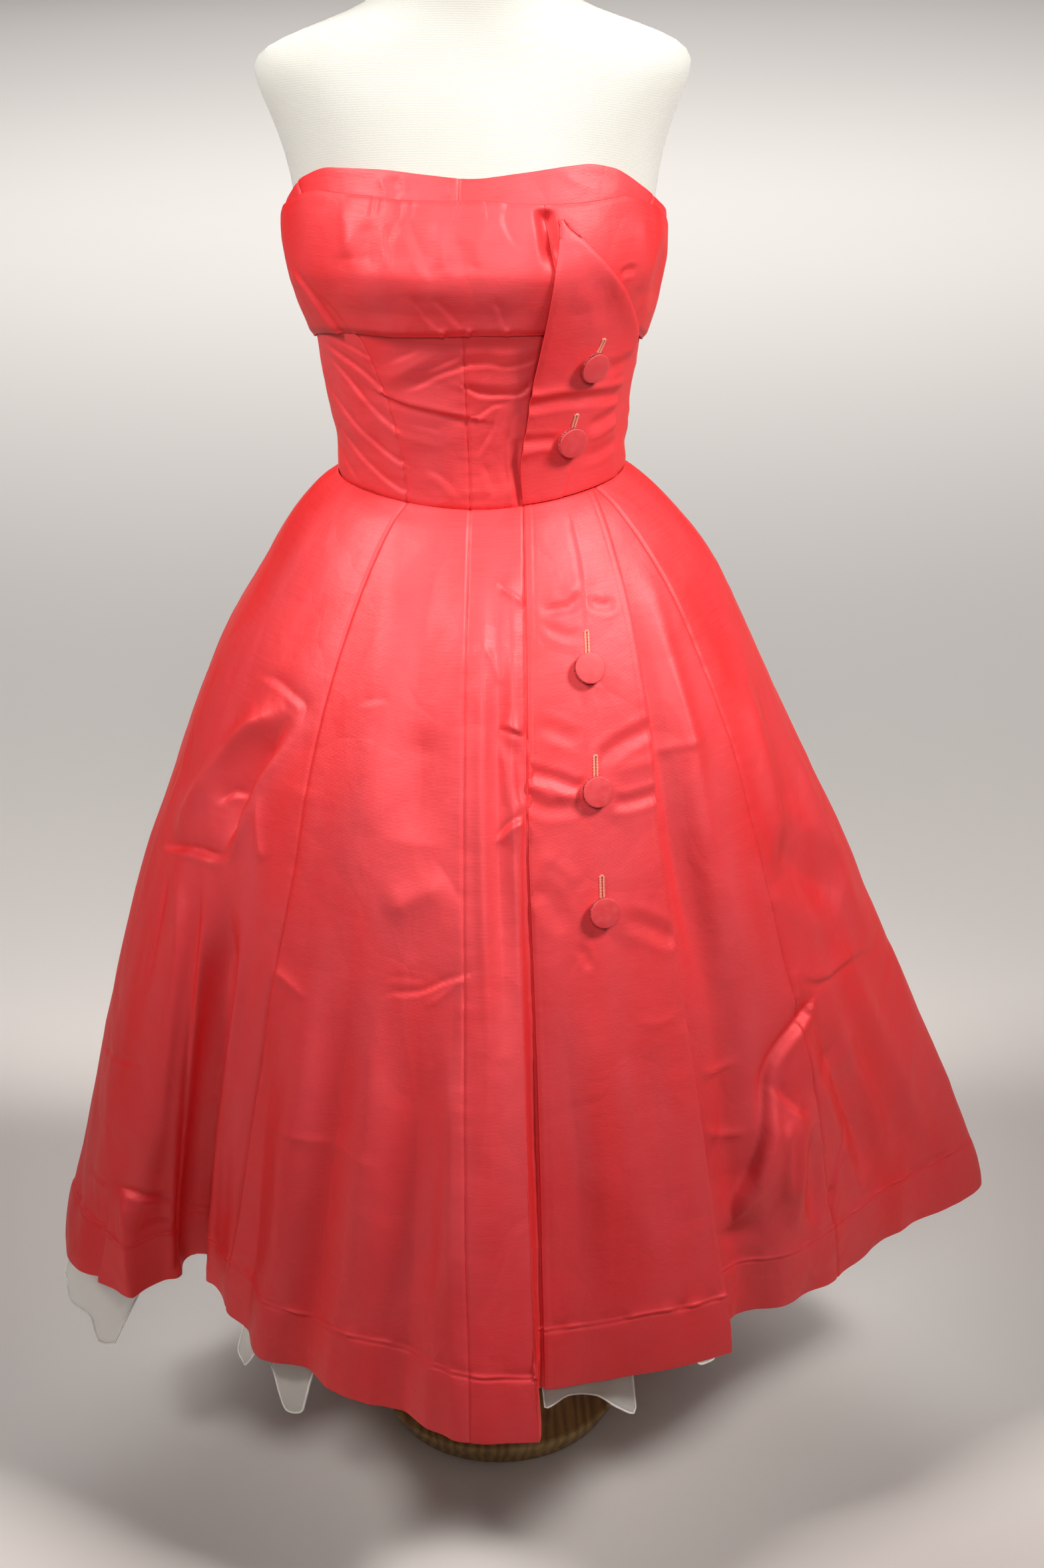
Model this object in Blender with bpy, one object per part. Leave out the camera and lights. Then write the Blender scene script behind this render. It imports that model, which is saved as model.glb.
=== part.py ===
"""Strapless cocktail dress, buttoned down one side, on a limbless dress form with a turned stand.

Metres, +Z up, front towards -Y. The origin is the middle of the stand's underside. Left and right
are the wearer's, so her left is +X. Azimuths are in degrees, 0 at the front and growing towards +X.
Every piece that a maker would cut and sew on is a closed solid of its own, 0.4 mm from the next.
"""
import math
from collections import namedtuple

import bmesh
import bpy
from mathutils import Vector

WAIST_Z = 0.935           # height of the waist line
WAIST_RISE = 0.004        # the waist seam is this much above the line at the sides and back
WAIST_DIP = 0.010         # and this much lower than that at the centre front
SKIRT_DROP = 0.718        # waist seam to hem
UNDERSKIRT_TOP = 0.06     # drop at which the sheer underskirt is hung
UNDERSKIRT_DROP = 0.765
UNDERSKIRT_FLARE = 0.3     # how fast it widens below the hem
CLOTH = 0.0014            # wall of the taffeta
UNDERSKIRT_INSET = 0.010   # how far inside the skirt it hangs at its top
ORGANZA = 0.0010
LAYER = 0.0022            # outside of one layer to the outside of the layer on it
SEAM_GAP = 0.0004

BUTTON_RADIUS = 0.0125
BUTTON_THICKNESS = 0.0042
SHANK_RADIUS = 0.003
SHANK_LENGTH = 0.0024
SHANK_GAP = 0.0008

BASE_RADIUS = 0.115
BASE_FOOT_RADIUS = 0.104
BASE_HEIGHT = 0.028
POLE_RADIUS = 0.014
FORM_BOTTOM = -0.215      # heights from the waist
TINY_GAP = 0.0003

Section = namedtuple("Section", "height right left front back")
Plan = namedtuple("Plan", "azimuth radius start swing")
Seam = namedtuple("Seam", "name waist middle hem")
BodiceSeam = namedtuple("BodiceSeam", "name waist top")
Line = namedtuple("Line", "azimuth height")
TabRow = namedtuple("TabRow", "height inner outer lift")
Lift = namedtuple("Lift", "share lift")
Button = namedtuple("Button", "piece across down")

# Outside of the skirt before its folds: drop below the waist, then the reach on four sides.
SKIRT_SECTIONS = (
    Section(0.000, 0.1190, 0.1190, 0.094, 0.092),
    Section(0.012, 0.1370, 0.1350, 0.110, 0.108),
    Section(0.038, 0.1600, 0.1610, 0.132, 0.132),
    Section(0.080, 0.1860, 0.1930, 0.160, 0.165),
    Section(0.140, 0.2220, 0.2220, 0.190, 0.200),
    Section(0.220, 0.2540, 0.2570, 0.219, 0.235),
    Section(0.340, 0.2920, 0.3060, 0.252, 0.275),
    Section(0.480, 0.3220, 0.3580, 0.283, 0.312),
    Section(0.600, 0.3400, 0.3950, 0.305, 0.340),
    Section(0.718, 0.3540, 0.4250, 0.325, 0.364),
)

# The hem seen from above: ridges and hollows, the share of the drop where each fold begins, and how
# many degrees it swings sideways at the hem, which rolls a ridge over the hollow beside it.
HEM_PLAN = (
    Plan(-180, 0.372, 0.30, 0), Plan(-164, 0.345, 0.30, 0), Plan(-148, 0.385, 0.25, 0),
    Plan(-131, 0.342, 0.30, 0), Plan(-115, 0.380, 0.25, 0), Plan(-99, 0.356, 0.25, 0),
    Plan(-86, 0.400, 0.20, 0), Plan(-79, 0.390, 0.25, 2.5), Plan(-74, 0.362, 0.25, 5),
    Plan(-69, 0.314, 0.30, -1), Plan(-65, 0.288, 0.30, -7), Plan(-61, 0.281, 0.30, -7),
    Plan(-57, 0.283, 0.30, 0), Plan(-44, 0.298, 0.30, 0), Plan(-24, 0.303, 0.30, 0),
    Plan(-12, 0.322, 0.30, 0), Plan(-1, 0.354, 0.25, 0), Plan(5.4, 0.352, 0.25, 0.4),
    Plan(7.4, 0.283, 0.25, 0), Plan(24, 0.274, 0.20, 0), Plan(49, 0.272, 0.20, 0),
    Plan(57, 0.303, 0.25, 0), Plan(66, 0.325, 0.30, 0), Plan(74, 0.344, 0.30, 0),
    Plan(79, 0.357, 0.30, 0), Plan(84, 0.388, 0.30, 0), Plan(90, 0.448, 0.25, 0),
    Plan(96, 0.462, 0.25, 0), Plan(105, 0.428, 0.25, 0), Plan(115, 0.388, 0.25, 0),
    Plan(126, 0.404, 0.25, 0), Plan(139, 0.354, 0.30, 0), Plan(152, 0.388, 0.25, 0),
    Plan(167, 0.350, 0.30, 0), Plan(180, 0.372, 0.30, 0),
)
UNDERSKIRT_PLAN = (
    Plan(-180, 0.345, 0.20, 0), Plan(-164, 0.322, 0.20, 0), Plan(-148, 0.352, 0.20, 0),
    Plan(-131, 0.318, 0.20, 0), Plan(-115, 0.348, 0.20, 0), Plan(-99, 0.333, 0.20, 0),
    Plan(-88, 0.383, 0.20, 0), Plan(-82, 0.346, 0.20, 0), Plan(-76, 0.284, 0.20, 0),
    Plan(-69, 0.264, 0.20, 0), Plan(-56, 0.256, 0.20, 0), Plan(-44, 0.280, 0.20, 0),
    Plan(-30, 0.278, 0.20, 0), Plan(-14, 0.290, 0.20, 0), Plan(0, 0.268, 0.20, 0),
    Plan(12, 0.264, 0.20, 0), Plan(30, 0.258, 0.20, 0), Plan(48, 0.254, 0.20, 0),
    Plan(60, 0.288, 0.20, 0),
    Plan(75, 0.312, 0.20, 0), Plan(83, 0.350, 0.20, 0), Plan(94, 0.424, 0.20, 0),
    Plan(105, 0.392, 0.20, 0), Plan(115, 0.360, 0.20, 0), Plan(126, 0.374, 0.20, 0),
    Plan(139, 0.330, 0.20, 0), Plan(152, 0.358, 0.20, 0), Plan(167, 0.328, 0.20, 0),
    Plan(180, 0.345, 0.20, 0),
)

# Azimuth of each seam of the skirt at the waist, at MIDDLE of the drop and at the hem.
MIDDLE = 0.35
SKIRT_SEAMS = (
    Seam("centre_back", -180.0, -180.0, -180.0), Seam("right_back_princess", -142.0, -140.0, -139.0),
    Seam("right_side", -95.0, -94.0, -96.0), Seam("right_princess", -36.0, -39.0, -57.0),
    Seam("centre_front", -5.0, -4.3, -3.5), Seam("placket", 21.0, 8.2, 7.8),
    Seam("left_princess", 58.0, 58.0, 68.0), Seam("left_side", 95.0, 94.0, 98.0),
    Seam("left_back_princess", 142.0, 140.0, 139.0), Seam("centre_back_again", 180.0, 180.0, 180.0),
)
SKIRT_GORES = (
    "skirt_back_right", "skirt_back_side_right", "skirt_front_side_right", "skirt_front_right",
    "skirt_front_centre", "skirt_front_left", "skirt_front_side_left", "skirt_back_side_left",
    "skirt_back_left",
)
SKIRT_ROWS = (0.0, 0.035, 0.09, 0.17, 0.28, 0.42, 0.57, 0.72, 0.86, 1.0)

# The button placket's two edges on the waist and on the hem, and how far it stands off the gore.
PLACKET_INNER = Seam("placket_inner", 21.4, 8.6, 8.2)
PLACKET_OUTER = Seam("placket_outer", 56.0, 36.5, 41.0)
PLACKET_STAND = 0.034

# Outside of the bodice: height above the waist, then the reach on four sides.
BODICE_SECTIONS = (
    Section(0.000, 0.1190, 0.1190, 0.0940, 0.0920),
    Section(0.030, 0.1180, 0.1205, 0.0955, 0.0930),
    Section(0.060, 0.1235, 0.1230, 0.0990, 0.0950),
    Section(0.090, 0.1275, 0.1270, 0.1030, 0.0970),
    Section(0.120, 0.1315, 0.1330, 0.1090, 0.0990),
    Section(0.150, 0.1390, 0.1400, 0.1160, 0.1010),
    Section(0.185, 0.1480, 0.1485, 0.1225, 0.1025),
    Section(0.210, 0.1515, 0.1520, 0.1180, 0.1030),
    Section(0.235, 0.1520, 0.1525, 0.1100, 0.1030),
    Section(0.265, 0.1500, 0.1505, 0.0995, 0.1030),
)
BUST_AZIMUTH, BUST_SPREAD, BUST_HEIGHT, BUST_FALL, BUST_FULLNESS = 36.0, 26.0, 0.185, 0.055, 0.007

NECKLINE = (
    Line(-180, 0.186), Line(-140, 0.190), Line(-110, 0.203), Line(-90, 0.216), Line(-77, 0.234),
    Line(-69, 0.250), Line(-58, 0.259), Line(-40, 0.260), Line(-20, 0.257), Line(0, 0.254),
    Line(20, 0.257), Line(46, 0.2605), Line(56, 0.256), Line(68, 0.237), Line(76, 0.224),
    Line(90, 0.210), Line(110, 0.200), Line(140, 0.190), Line(180, 0.186),
)
CUFF_TOP = (
    Line(-180, 0.176), Line(-140, 0.180), Line(-110, 0.195), Line(-90, 0.210), Line(-77, 0.227),
    Line(-58, 0.243), Line(-40, 0.2425), Line(-26, 0.2405), Line(0, 0.240), Line(24, 0.236),
    Line(40, 0.235), Line(56, 0.236), Line(68, 0.226), Line(80, 0.211), Line(90, 0.202),
    Line(110, 0.190), Line(140, 0.180), Line(180, 0.176),
)
CUFF_BOTTOM = (
    Line(-180, 0.098), Line(-130, 0.102), Line(-90, 0.114), Line(-70, 0.126), Line(-45, 0.134),
    Line(0, 0.137), Line(45, 0.133), Line(70, 0.122), Line(90, 0.107), Line(130, 0.100),
    Line(180, 0.098),
)
# How far the turned-back cuff stands off the bodice, from its top edge to its bottom edge.
CUFF_LIFT = (Lift(0.0, 0.0040), Lift(0.30, 0.0062), Lift(0.7, 0.0072), Lift(1.0, 0.0050))

BODICE_SEAMS = (
    BodiceSeam("centre_back", -180.0, -180.0), BodiceSeam("right_side", -95.0, -95.0),
    BodiceSeam("right_princess", -36.0, -72.0), BodiceSeam("centre_front", -5.0, -6.0),
    BodiceSeam("left_princess", 38.0, 72.0), BodiceSeam("left_side", 95.0, 95.0),
    BodiceSeam("centre_back_again", 180.0, 180.0),
)
BODICE_PANELS = (
    "bodice_back_right", "bodice_front_side_right", "bodice_front_right", "bodice_front_centre",
    "bodice_front_side_left", "bodice_back_left",
)
BODICE_ROWS = 8
SEAM_BOW = 1.7            # the princess seams leave the waist upright and then swing outwards
CUFF_SPANS = (("bust_cuff_back_right", -180.0, -92.0), ("bust_cuff_right", -92.0, 26.0),
              ("bust_cuff_left", 26.0, 92.0), ("bust_cuff_back_left", 92.0, 180.0))
CUFF_ROWS = 5

# The tab that carries the lapel: height above the waist, azimuth of both edges, reach past the bodice.
TAB_ROWS = (
    TabRow(0.000, 20.5, 72.0, 0.0024), TabRow(0.030, 19.0, 68.0, 0.0036),
    TabRow(0.060, 20.8, 64.0, 0.0060), TabRow(0.090, 21.8, 63.5, 0.0085),
    TabRow(0.120, 23.2, 65.0, 0.0105), TabRow(0.150, 24.2, 57.0, 0.0112),
    TabRow(0.185, 25.2, 44.0, 0.0105), TabRow(0.208, 27.6, 36.0, 0.0092),
    TabRow(0.225, 29.0, 31.2, 0.0080),
)

# Dress form: height from the waist, then the reach on four sides.
FORM_SECTIONS = (
    Section(-0.215, 0.120, 0.120, 0.080, 0.095),
    Section(-0.200, 0.132, 0.132, 0.092, 0.108),
    Section(-0.140, 0.140, 0.140, 0.100, 0.118),
    Section(-0.080, 0.134, 0.134, 0.097, 0.110),
    Section(-0.030, 0.116, 0.116, 0.090, 0.092),
    Section(0.000, 0.1120, 0.1120, 0.0880, 0.0860),
    Section(0.060, 0.1150, 0.1150, 0.0920, 0.0890),
    Section(0.120, 0.1240, 0.1240, 0.1030, 0.0930),
    Section(0.185, 0.1400, 0.1400, 0.1160, 0.0965),
    Section(0.225, 0.1425, 0.1425, 0.1080, 0.0960),
    Section(0.260, 0.1480, 0.1480, 0.0950, 0.0940),
    Section(0.295, 0.1610, 0.1610, 0.0830, 0.0880),
    Section(0.320, 0.1720, 0.1720, 0.0740, 0.0810),
    Section(0.335, 0.1700, 0.1700, 0.0680, 0.0760),
    Section(0.347, 0.1500, 0.1500, 0.0640, 0.0720),
    Section(0.360, 0.1130, 0.1130, 0.0600, 0.0670),
    Section(0.372, 0.0800, 0.0800, 0.0570, 0.0620),
    Section(0.390, 0.0640, 0.0640, 0.0550, 0.0590),
    Section(0.420, 0.0570, 0.0570, 0.0530, 0.0560),
    Section(0.447, 0.0550, 0.0550, 0.0520, 0.0540),
    Section(0.455, 0.0500, 0.0500, 0.0470, 0.0490),
)
FORM_COLUMNS = 36

# Each button's place: across its panel, then height above the waist or share of the drop.
BUTTONS = (
    Button("tab", 0.515, 0.1086), Button("tab", 0.450, 0.0470), Button("placket", 0.520, 0.1588),
    Button("placket", 0.515, 0.2844), Button("placket", 0.505, 0.4173),
)


def clamp(value, low=0.0, high=1.0):
    """The value kept between two limits."""
    return max(low, min(high, value))


def smooth_curve(xs, ys, x):
    """Monotone cubic through the points (xs, ys), read at x."""
    if x <= xs[0]:
        return ys[0]
    if x >= xs[-1]:
        return ys[-1]
    k = max(i for i in range(len(xs) - 1) if xs[i] <= x)
    width = xs[k + 1] - xs[k]
    s = (x - xs[k]) / width

    def slope(i):
        if i == 0 or i == len(xs) - 1:
            return 0.0 if i else (ys[1] - ys[0]) / (xs[1] - xs[0])
        before = (ys[i] - ys[i - 1]) / (xs[i] - xs[i - 1])
        after = (ys[i + 1] - ys[i]) / (xs[i + 1] - xs[i])
        return 0.0 if before * after <= 0 else 2 * before * after / (before + after)

    near, far = slope(k) * width, slope(k + 1) * width
    return ((1 + 2 * s) * (1 - s) ** 2 * ys[k] + s * (1 - s) ** 2 * near
            + s * s * (3 - 2 * s) * ys[k + 1] + s * s * (s - 1) * far)


def column(rows, key, name, value):
    """One named column of a table, read between its rows."""
    return smooth_curve([getattr(r, key) for r in rows], [getattr(r, name) for r in rows], value)


def ellipse_reach(sections, height, azimuth):
    """Distance from the axis to the outside, from the four reaches at this height."""
    turn = math.radians(azimuth)
    side = column(sections, "height", "left" if math.sin(turn) > 0 else "right", height)
    depth = column(sections, "height", "front" if math.cos(turn) > 0 else "back", height)
    return 1.0 / math.hypot(math.sin(turn) / side, math.cos(turn) / depth)


def polar(azimuth, radius, z):
    """A point at this azimuth and radius round the axis."""
    turn = math.radians(azimuth)
    return Vector((radius * math.sin(turn), -radius * math.cos(turn), z))


def waist_height(azimuth):
    """The waist seam, which dips at the front."""
    return WAIST_Z + WAIST_RISE - WAIST_DIP * max(0.0, math.cos(math.radians(azimuth))) ** 2


def spread(share):
    """How far out of the waist the skirt has come, from 0 to 1, at this share of its drop."""
    drop = share * SKIRT_DROP
    mean = [sum(s[1:]) / 4 for s in SKIRT_SECTIONS]
    here = smooth_curve([s.height for s in SKIRT_SECTIONS], mean, drop)
    return (here - mean[0]) / (mean[-1] - mean[0])


def seam_azimuth(seam, share):
    """Azimuth of a seam at a share of the drop: straight, seen from above, down to the middle."""
    if share >= MIDDLE:
        return seam.middle + (seam.hem - seam.middle) * clamp((share - MIDDLE) / (1 - MIDDLE)) ** 1.3
    top = polar(seam.waist, ellipse_reach(SKIRT_SECTIONS, 0.0, seam.waist), 0.0)
    low = polar(seam.middle, ellipse_reach(SKIRT_SECTIONS, MIDDLE * SKIRT_DROP, seam.middle), 0.0)
    here = top.lerp(low, clamp(spread(share) / spread(MIDDLE)))
    azimuth = math.degrees(math.atan2(here.x, -here.y))
    return azimuth - 360.0 * round((azimuth - seam.middle) / 360.0)


def grain_line(hem_azimuth):
    """The line of the cloth that meets the hem at this azimuth, read between the seams."""
    xs = [s.hem for s in SKIRT_SEAMS]
    k = max(i for i in range(len(xs) - 1) if xs[i] <= hem_azimuth or i == 0)
    part_way = (hem_azimuth - xs[k]) / (xs[k + 1] - xs[k])
    before, after = SKIRT_SEAMS[k], SKIRT_SEAMS[k + 1]
    return Seam("grain", before.waist + (after.waist - before.waist) * part_way,
                before.middle + (after.middle - before.middle) * part_way, hem_azimuth)


def fold(plan, hem_azimuth, share):
    """How far a fold stands out of the plain skirt, and how far it swings, here on its grain line."""
    plain = ellipse_reach(SKIRT_SECTIONS, SKIRT_DROP, hem_azimuth)
    start = column(plan, "azimuth", "start", hem_azimuth)
    growth = clamp((share - start) / (1 - start)) ** 1.3
    swing = column(plan, "azimuth", "swing", hem_azimuth)
    return (column(plan, "azimuth", "radius", hem_azimuth) - plain) * growth, swing * growth


def skirt_point(hem_azimuth, share):
    """Outside of the skirt on one grain line, at a share of its drop."""
    azimuth = seam_azimuth(grain_line(hem_azimuth), share)
    stand, swing = fold(HEM_PLAN, hem_azimuth, share)
    radius = ellipse_reach(SKIRT_SECTIONS, share * SKIRT_DROP, azimuth) + stand
    z = waist_height(azimuth) * (1 - share) + (WAIST_Z - SKIRT_DROP) * share
    return polar(azimuth + swing, radius, z)


def grain_line_at(azimuth, share):
    """Hem azimuth of the grain line that passes this azimuth at this share of the drop."""
    low, high = -180.0, 180.0
    for _ in range(24):
        middle = (low + high) / 2
        if seam_azimuth(grain_line(middle), share) < azimuth:
            low = middle
        else:
            high = middle
    return (low + high) / 2


def placket_point(across, share):
    """Outside of the button placket, across it from 0 to 1, lying on the left front gore."""
    inner, outer = seam_azimuth(PLACKET_INNER, share), seam_azimuth(PLACKET_OUTER, share)
    grain = grain_line_at(inner + (outer - inner) * across, share)
    on_gore, normal = skirt_point(grain, share), surface_normal(skirt_point, grain, share, 0.5)
    stand = PLACKET_STAND * clamp(across) ** 1.6 * clamp((share - 0.3) / 0.7) ** 1.4
    return on_gore + normal * LAYER + Vector((on_gore.x, on_gore.y, 0.0)).normalized() * stand


def underskirt_point(hem_azimuth, share):
    """Outside of the sheer underskirt, which hangs inside the skirt and below its hem."""
    drop = UNDERSKIRT_TOP + (UNDERSKIRT_DROP - UNDERSKIRT_TOP) * share
    on_skirt = min(1.0, drop / SKIRT_DROP)
    azimuth = seam_azimuth(grain_line(hem_azimuth), on_skirt)
    plain = ellipse_reach(SKIRT_SECTIONS, min(drop, SKIRT_DROP), azimuth)
    radius = plain - UNDERSKIRT_INSET * (1 - on_skirt) + fold(UNDERSKIRT_PLAN, hem_azimuth, on_skirt)[0]
    radius += UNDERSKIRT_FLARE * max(0.0, drop - SKIRT_DROP)
    return polar(azimuth, radius, WAIST_Z - drop)


def bodice_radius(azimuth, height):
    """Outside of the bodice with the fullness of its princess seams over the bust."""
    radius = ellipse_reach(BODICE_SECTIONS, height, azimuth)
    side = (abs(azimuth) - BUST_AZIMUTH) / BUST_SPREAD
    rise = (height - BUST_HEIGHT) / BUST_FALL
    return radius + BUST_FULLNESS * math.exp(-side * side - rise * rise)


def bodice_point(azimuth, share):
    """Outside of the bodice at this azimuth, from the waist seam to the neckline."""
    low = waist_height(azimuth)
    high = WAIST_Z + column(NECKLINE, "azimuth", "height", azimuth)
    z = low + (high - low) * share
    return polar(azimuth, bodice_radius(azimuth, z - WAIST_Z), z)


def cuff_point(azimuth, share):
    """Outside of the turned-back bust cuff, from its top edge to its bottom edge."""
    top = column(CUFF_TOP, "azimuth", "height", azimuth)
    bottom = column(CUFF_BOTTOM, "azimuth", "height", azimuth)
    height = top + (bottom - top) * share
    return polar(azimuth, bodice_radius(azimuth, height) + column(CUFF_LIFT, "share", "lift", share),
                 WAIST_Z + height)


def tab_point(across, height):
    """Outside of the lapel tab at a height above the waist, across it from 0 to 1."""
    inner = column(TAB_ROWS, "height", "inner", height)
    outer = column(TAB_ROWS, "height", "outer", height)
    azimuth = inner + (outer - inner) * across
    low = waist_height(azimuth) - WAIST_Z
    lowered = low * clamp(1 - height / 0.05)
    radius = bodice_radius(azimuth, height) + column(TAB_ROWS, "height", "lift", height)
    return polar(azimuth, radius, WAIST_Z + height + lowered)


def surface_normal(surface, u, v, u_step):
    """Unit normal of a surface, pointing away from the axis."""
    v_step = 0.004
    along = surface(u + u_step, v) - surface(u - u_step, v)
    down = surface(u, v + v_step) - surface(u, v - v_step)
    normal = along.cross(down).normalized()
    point = surface(u, v)
    return normal if normal.x * point.x + normal.y * point.y > 0 else -normal


def material(name, colour, roughness, metallic=0.0, alpha=1.0):
    """A Principled material with the part's own colour."""
    made = bpy.data.materials.new(name)
    made.use_nodes = True
    shader = made.node_tree.nodes["Principled BSDF"]
    shader.inputs["Base Color"].default_value = (*colour, 1.0)
    shader.inputs["Roughness"].default_value = roughness
    shader.inputs["Metallic"].default_value = metallic
    shader.inputs["Alpha"].default_value = alpha
    made.diffuse_color = (*colour, alpha)
    return made


def add_object(name, mesh_builder, finish):
    """Close a bmesh into a named object with outward faces."""
    bmesh.ops.recalc_face_normals(mesh_builder, faces=mesh_builder.faces)
    mesh = bpy.data.meshes.new(name)
    mesh_builder.to_mesh(mesh)
    mesh_builder.free()
    made = bpy.data.objects.new(name, mesh)
    bpy.context.collection.objects.link(made)
    mesh.materials.append(finish)
    mesh.shade_smooth()
    mesh.set_sharp_from_angle(angle=math.radians(50))
    return made


def pull_in(points, gap):
    """Draw the rim of a grid of points in by a gap, so that neighbours don't touch."""
    rows, columns = len(points), len(points[0])
    drawn = [[p.copy() for p in row] for row in points]
    for i in range(rows):
        for edge, inside in ((0, 1), (columns - 1, columns - 2)):
            drawn[i][edge] += (points[i][inside] - points[i][edge]).normalized() * gap
    for j in range(columns):
        for edge, inside in ((0, 1), (rows - 1, rows - 2)):
            drawn[edge][j] += (points[inside][j] - points[edge][j]).normalized() * gap
    return drawn


def cloth_wall(name, surface, us, vs, thickness, u_step, finish):
    """A closed wall of cloth: the surface at a grid of places, and the same moved in."""
    outer = pull_in([[surface(u, v) for u in us] for v in vs], SEAM_GAP / 2)
    build = bmesh.new()
    layers = []
    for depth in (0.0, thickness):
        layers.append([[build.verts.new(outer[i][j] - surface_normal(surface, u, v, u_step) * depth)
                        for j, u in enumerate(us)] for i, v in enumerate(vs)])
    front, rear = layers
    last_row, last_column = len(vs) - 1, len(us) - 1
    for i in range(last_row):
        for j in range(last_column):
            for sheet in layers:
                build.faces.new((sheet[i][j], sheet[i][j + 1], sheet[i + 1][j + 1], sheet[i + 1][j]))
        for j in (0, last_column):
            build.faces.new((front[i][j], front[i + 1][j], rear[i + 1][j], rear[i][j]))
    for j in range(last_column):
        for i in (0, last_row):
            build.faces.new((front[i][j], front[i][j + 1], rear[i][j + 1], rear[i][j]))
    return add_object(name, build, finish)


def steps(start, end, count):
    """Even steps from start to end, with both ends."""
    return [start + (end - start) * i / count for i in range(count + 1)]


def fold_columns(plan, start, end, widest):
    """Columns from start to end: each ridge and hollow of the plan, and even steps between them."""
    marks = sorted({start, end, *(p.azimuth for p in plan if start + 0.8 < p.azimuth < end - 0.8)})
    columns = [marks[0]]
    for low, high in zip(marks, marks[1:]):
        count = max(1, math.ceil((high - low) / widest))
        columns += steps(low, high, count)[1:]
    return columns


def lofted(name, sections, columns, finish):
    """A closed solid of level rings through the sections, with flat ends."""
    build = bmesh.new()
    rings = []
    for section in sections:
        rings.append([build.verts.new(polar(360.0 * k / columns,
                                            ellipse_reach(sections, section.height, 360.0 * k / columns),
                                            WAIST_Z + section.height)) for k in range(columns)])
    for low, high in zip(rings, rings[1:]):
        for k in range(columns):
            nxt = (k + 1) % columns
            build.faces.new((low[k], low[nxt], high[nxt], high[k]))
    build.faces.new(rings[0])
    build.faces.new(rings[-1])
    return add_object(name, build, finish)


def turned(name, profile, columns, finish):
    """A closed solid turned round the Z axis from (radius, height) pairs, with flat ends."""
    build = bmesh.new()
    rings = [[build.verts.new(polar(360.0 * k / columns, radius, z)) for k in range(columns)]
             for radius, z in profile]
    for low, high in zip(rings, rings[1:]):
        for k in range(columns):
            nxt = (k + 1) % columns
            build.faces.new((low[k], low[nxt], high[nxt], high[k]))
    build.faces.new(rings[0])
    build.faces.new(rings[-1])
    return add_object(name, build, finish)


def build_skirt(finish):
    """The gores of the skirt, each between two seams."""
    for name, start, end in zip(SKIRT_GORES, SKIRT_SEAMS, SKIRT_SEAMS[1:]):
        columns = fold_columns(HEM_PLAN, start.hem, end.hem, 6.5)
        cloth_wall(name, skirt_point, columns, SKIRT_ROWS, CLOTH, 0.5, finish)


def build_placket(finish):
    """The panel with the buttonholes, laid on the left front gore."""
    cloth_wall("button_placket", placket_point, steps(0.0, 1.0, 6), SKIRT_ROWS, CLOTH, 0.02, finish)


def build_underskirt(finish):
    """The two halves of the sheer underskirt."""
    for name, start, end in (("underskirt_front", -95.0, 98.0), ("underskirt_back", 98.0, 265.0)):
        if end > 180:
            first = fold_columns(UNDERSKIRT_PLAN, start, 180.0, 9.0)
            second = [u + 360.0 for u in fold_columns(UNDERSKIRT_PLAN, -180.0, end - 360.0, 9.0)]
            columns = first + second[1:]
        else:
            columns = fold_columns(UNDERSKIRT_PLAN, start, end, 9.0)

        def wrapped(u, v):
            return underskirt_point(u - 360.0 if u > 180.0 else u, v)

        cloth_wall(name, wrapped, columns, (0.0, 0.12, 0.3, 0.55, 0.8, 1.0), ORGANZA, 0.5, finish)


def build_bodice(finish):
    """The fitted panels, each between two seams that lean from the waist to the neckline."""
    for name, start, end in zip(BODICE_PANELS, BODICE_SEAMS, BODICE_SEAMS[1:]):
        def panel(u, v, start=start, end=end):
            low, high = start.waist + (end.waist - start.waist) * u, start.top + (end.top - start.top) * u
            return bodice_point(low + (high - low) * clamp(v) ** SEAM_BOW, v)

        count = math.ceil(max(end.waist - start.waist, end.top - start.top) / 9.5)
        cloth_wall(name, panel, steps(0.0, 1.0, count), steps(0.0, 1.0, BODICE_ROWS), CLOTH, 0.01, finish)


def build_cuff(finish):
    """The turned-back bust cuff."""
    for name, start, end in CUFF_SPANS:
        count = round((end - start) / 7.5)
        cloth_wall(name, cuff_point, steps(start, end, count), steps(0.0, 1.0, CUFF_ROWS), CLOTH, 0.5, finish)


def build_tab(finish):
    """The tab that rises from the placket into a lapel."""
    heights = [row.height for row in TAB_ROWS]
    heights[0] += 0.001
    cloth_wall("button_tab", tab_point, steps(0.0, 1.0, 5), heights, CLOTH, 0.02, finish)


def build_buttons(finish):
    """Flat covered buttons, each on a short shank, square to the cloth they fasten."""
    top, edge = SHANK_LENGTH + BUTTON_THICKNESS, 0.0009
    profile = ((SHANK_RADIUS, 0.0), (SHANK_RADIUS, SHANK_LENGTH), (BUTTON_RADIUS - edge, SHANK_LENGTH),
               (BUTTON_RADIUS, SHANK_LENGTH + edge), (BUTTON_RADIUS, top - 2 * edge),
               (BUTTON_RADIUS - edge, top - edge / 2), (BUTTON_RADIUS - 4 * edge, top))
    for number, row in enumerate(BUTTONS, 1):
        surface = tab_point if row.piece == "tab" else placket_point
        out = surface_normal(surface, row.across, row.down, 0.02)
        button = turned(f"button_{number}", profile, 20, finish)
        button.location = surface(row.across, row.down) + out * SHANK_GAP
        button.rotation_mode = "QUATERNION"
        button.rotation_quaternion = out.to_track_quat("Z", "Y")


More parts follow.
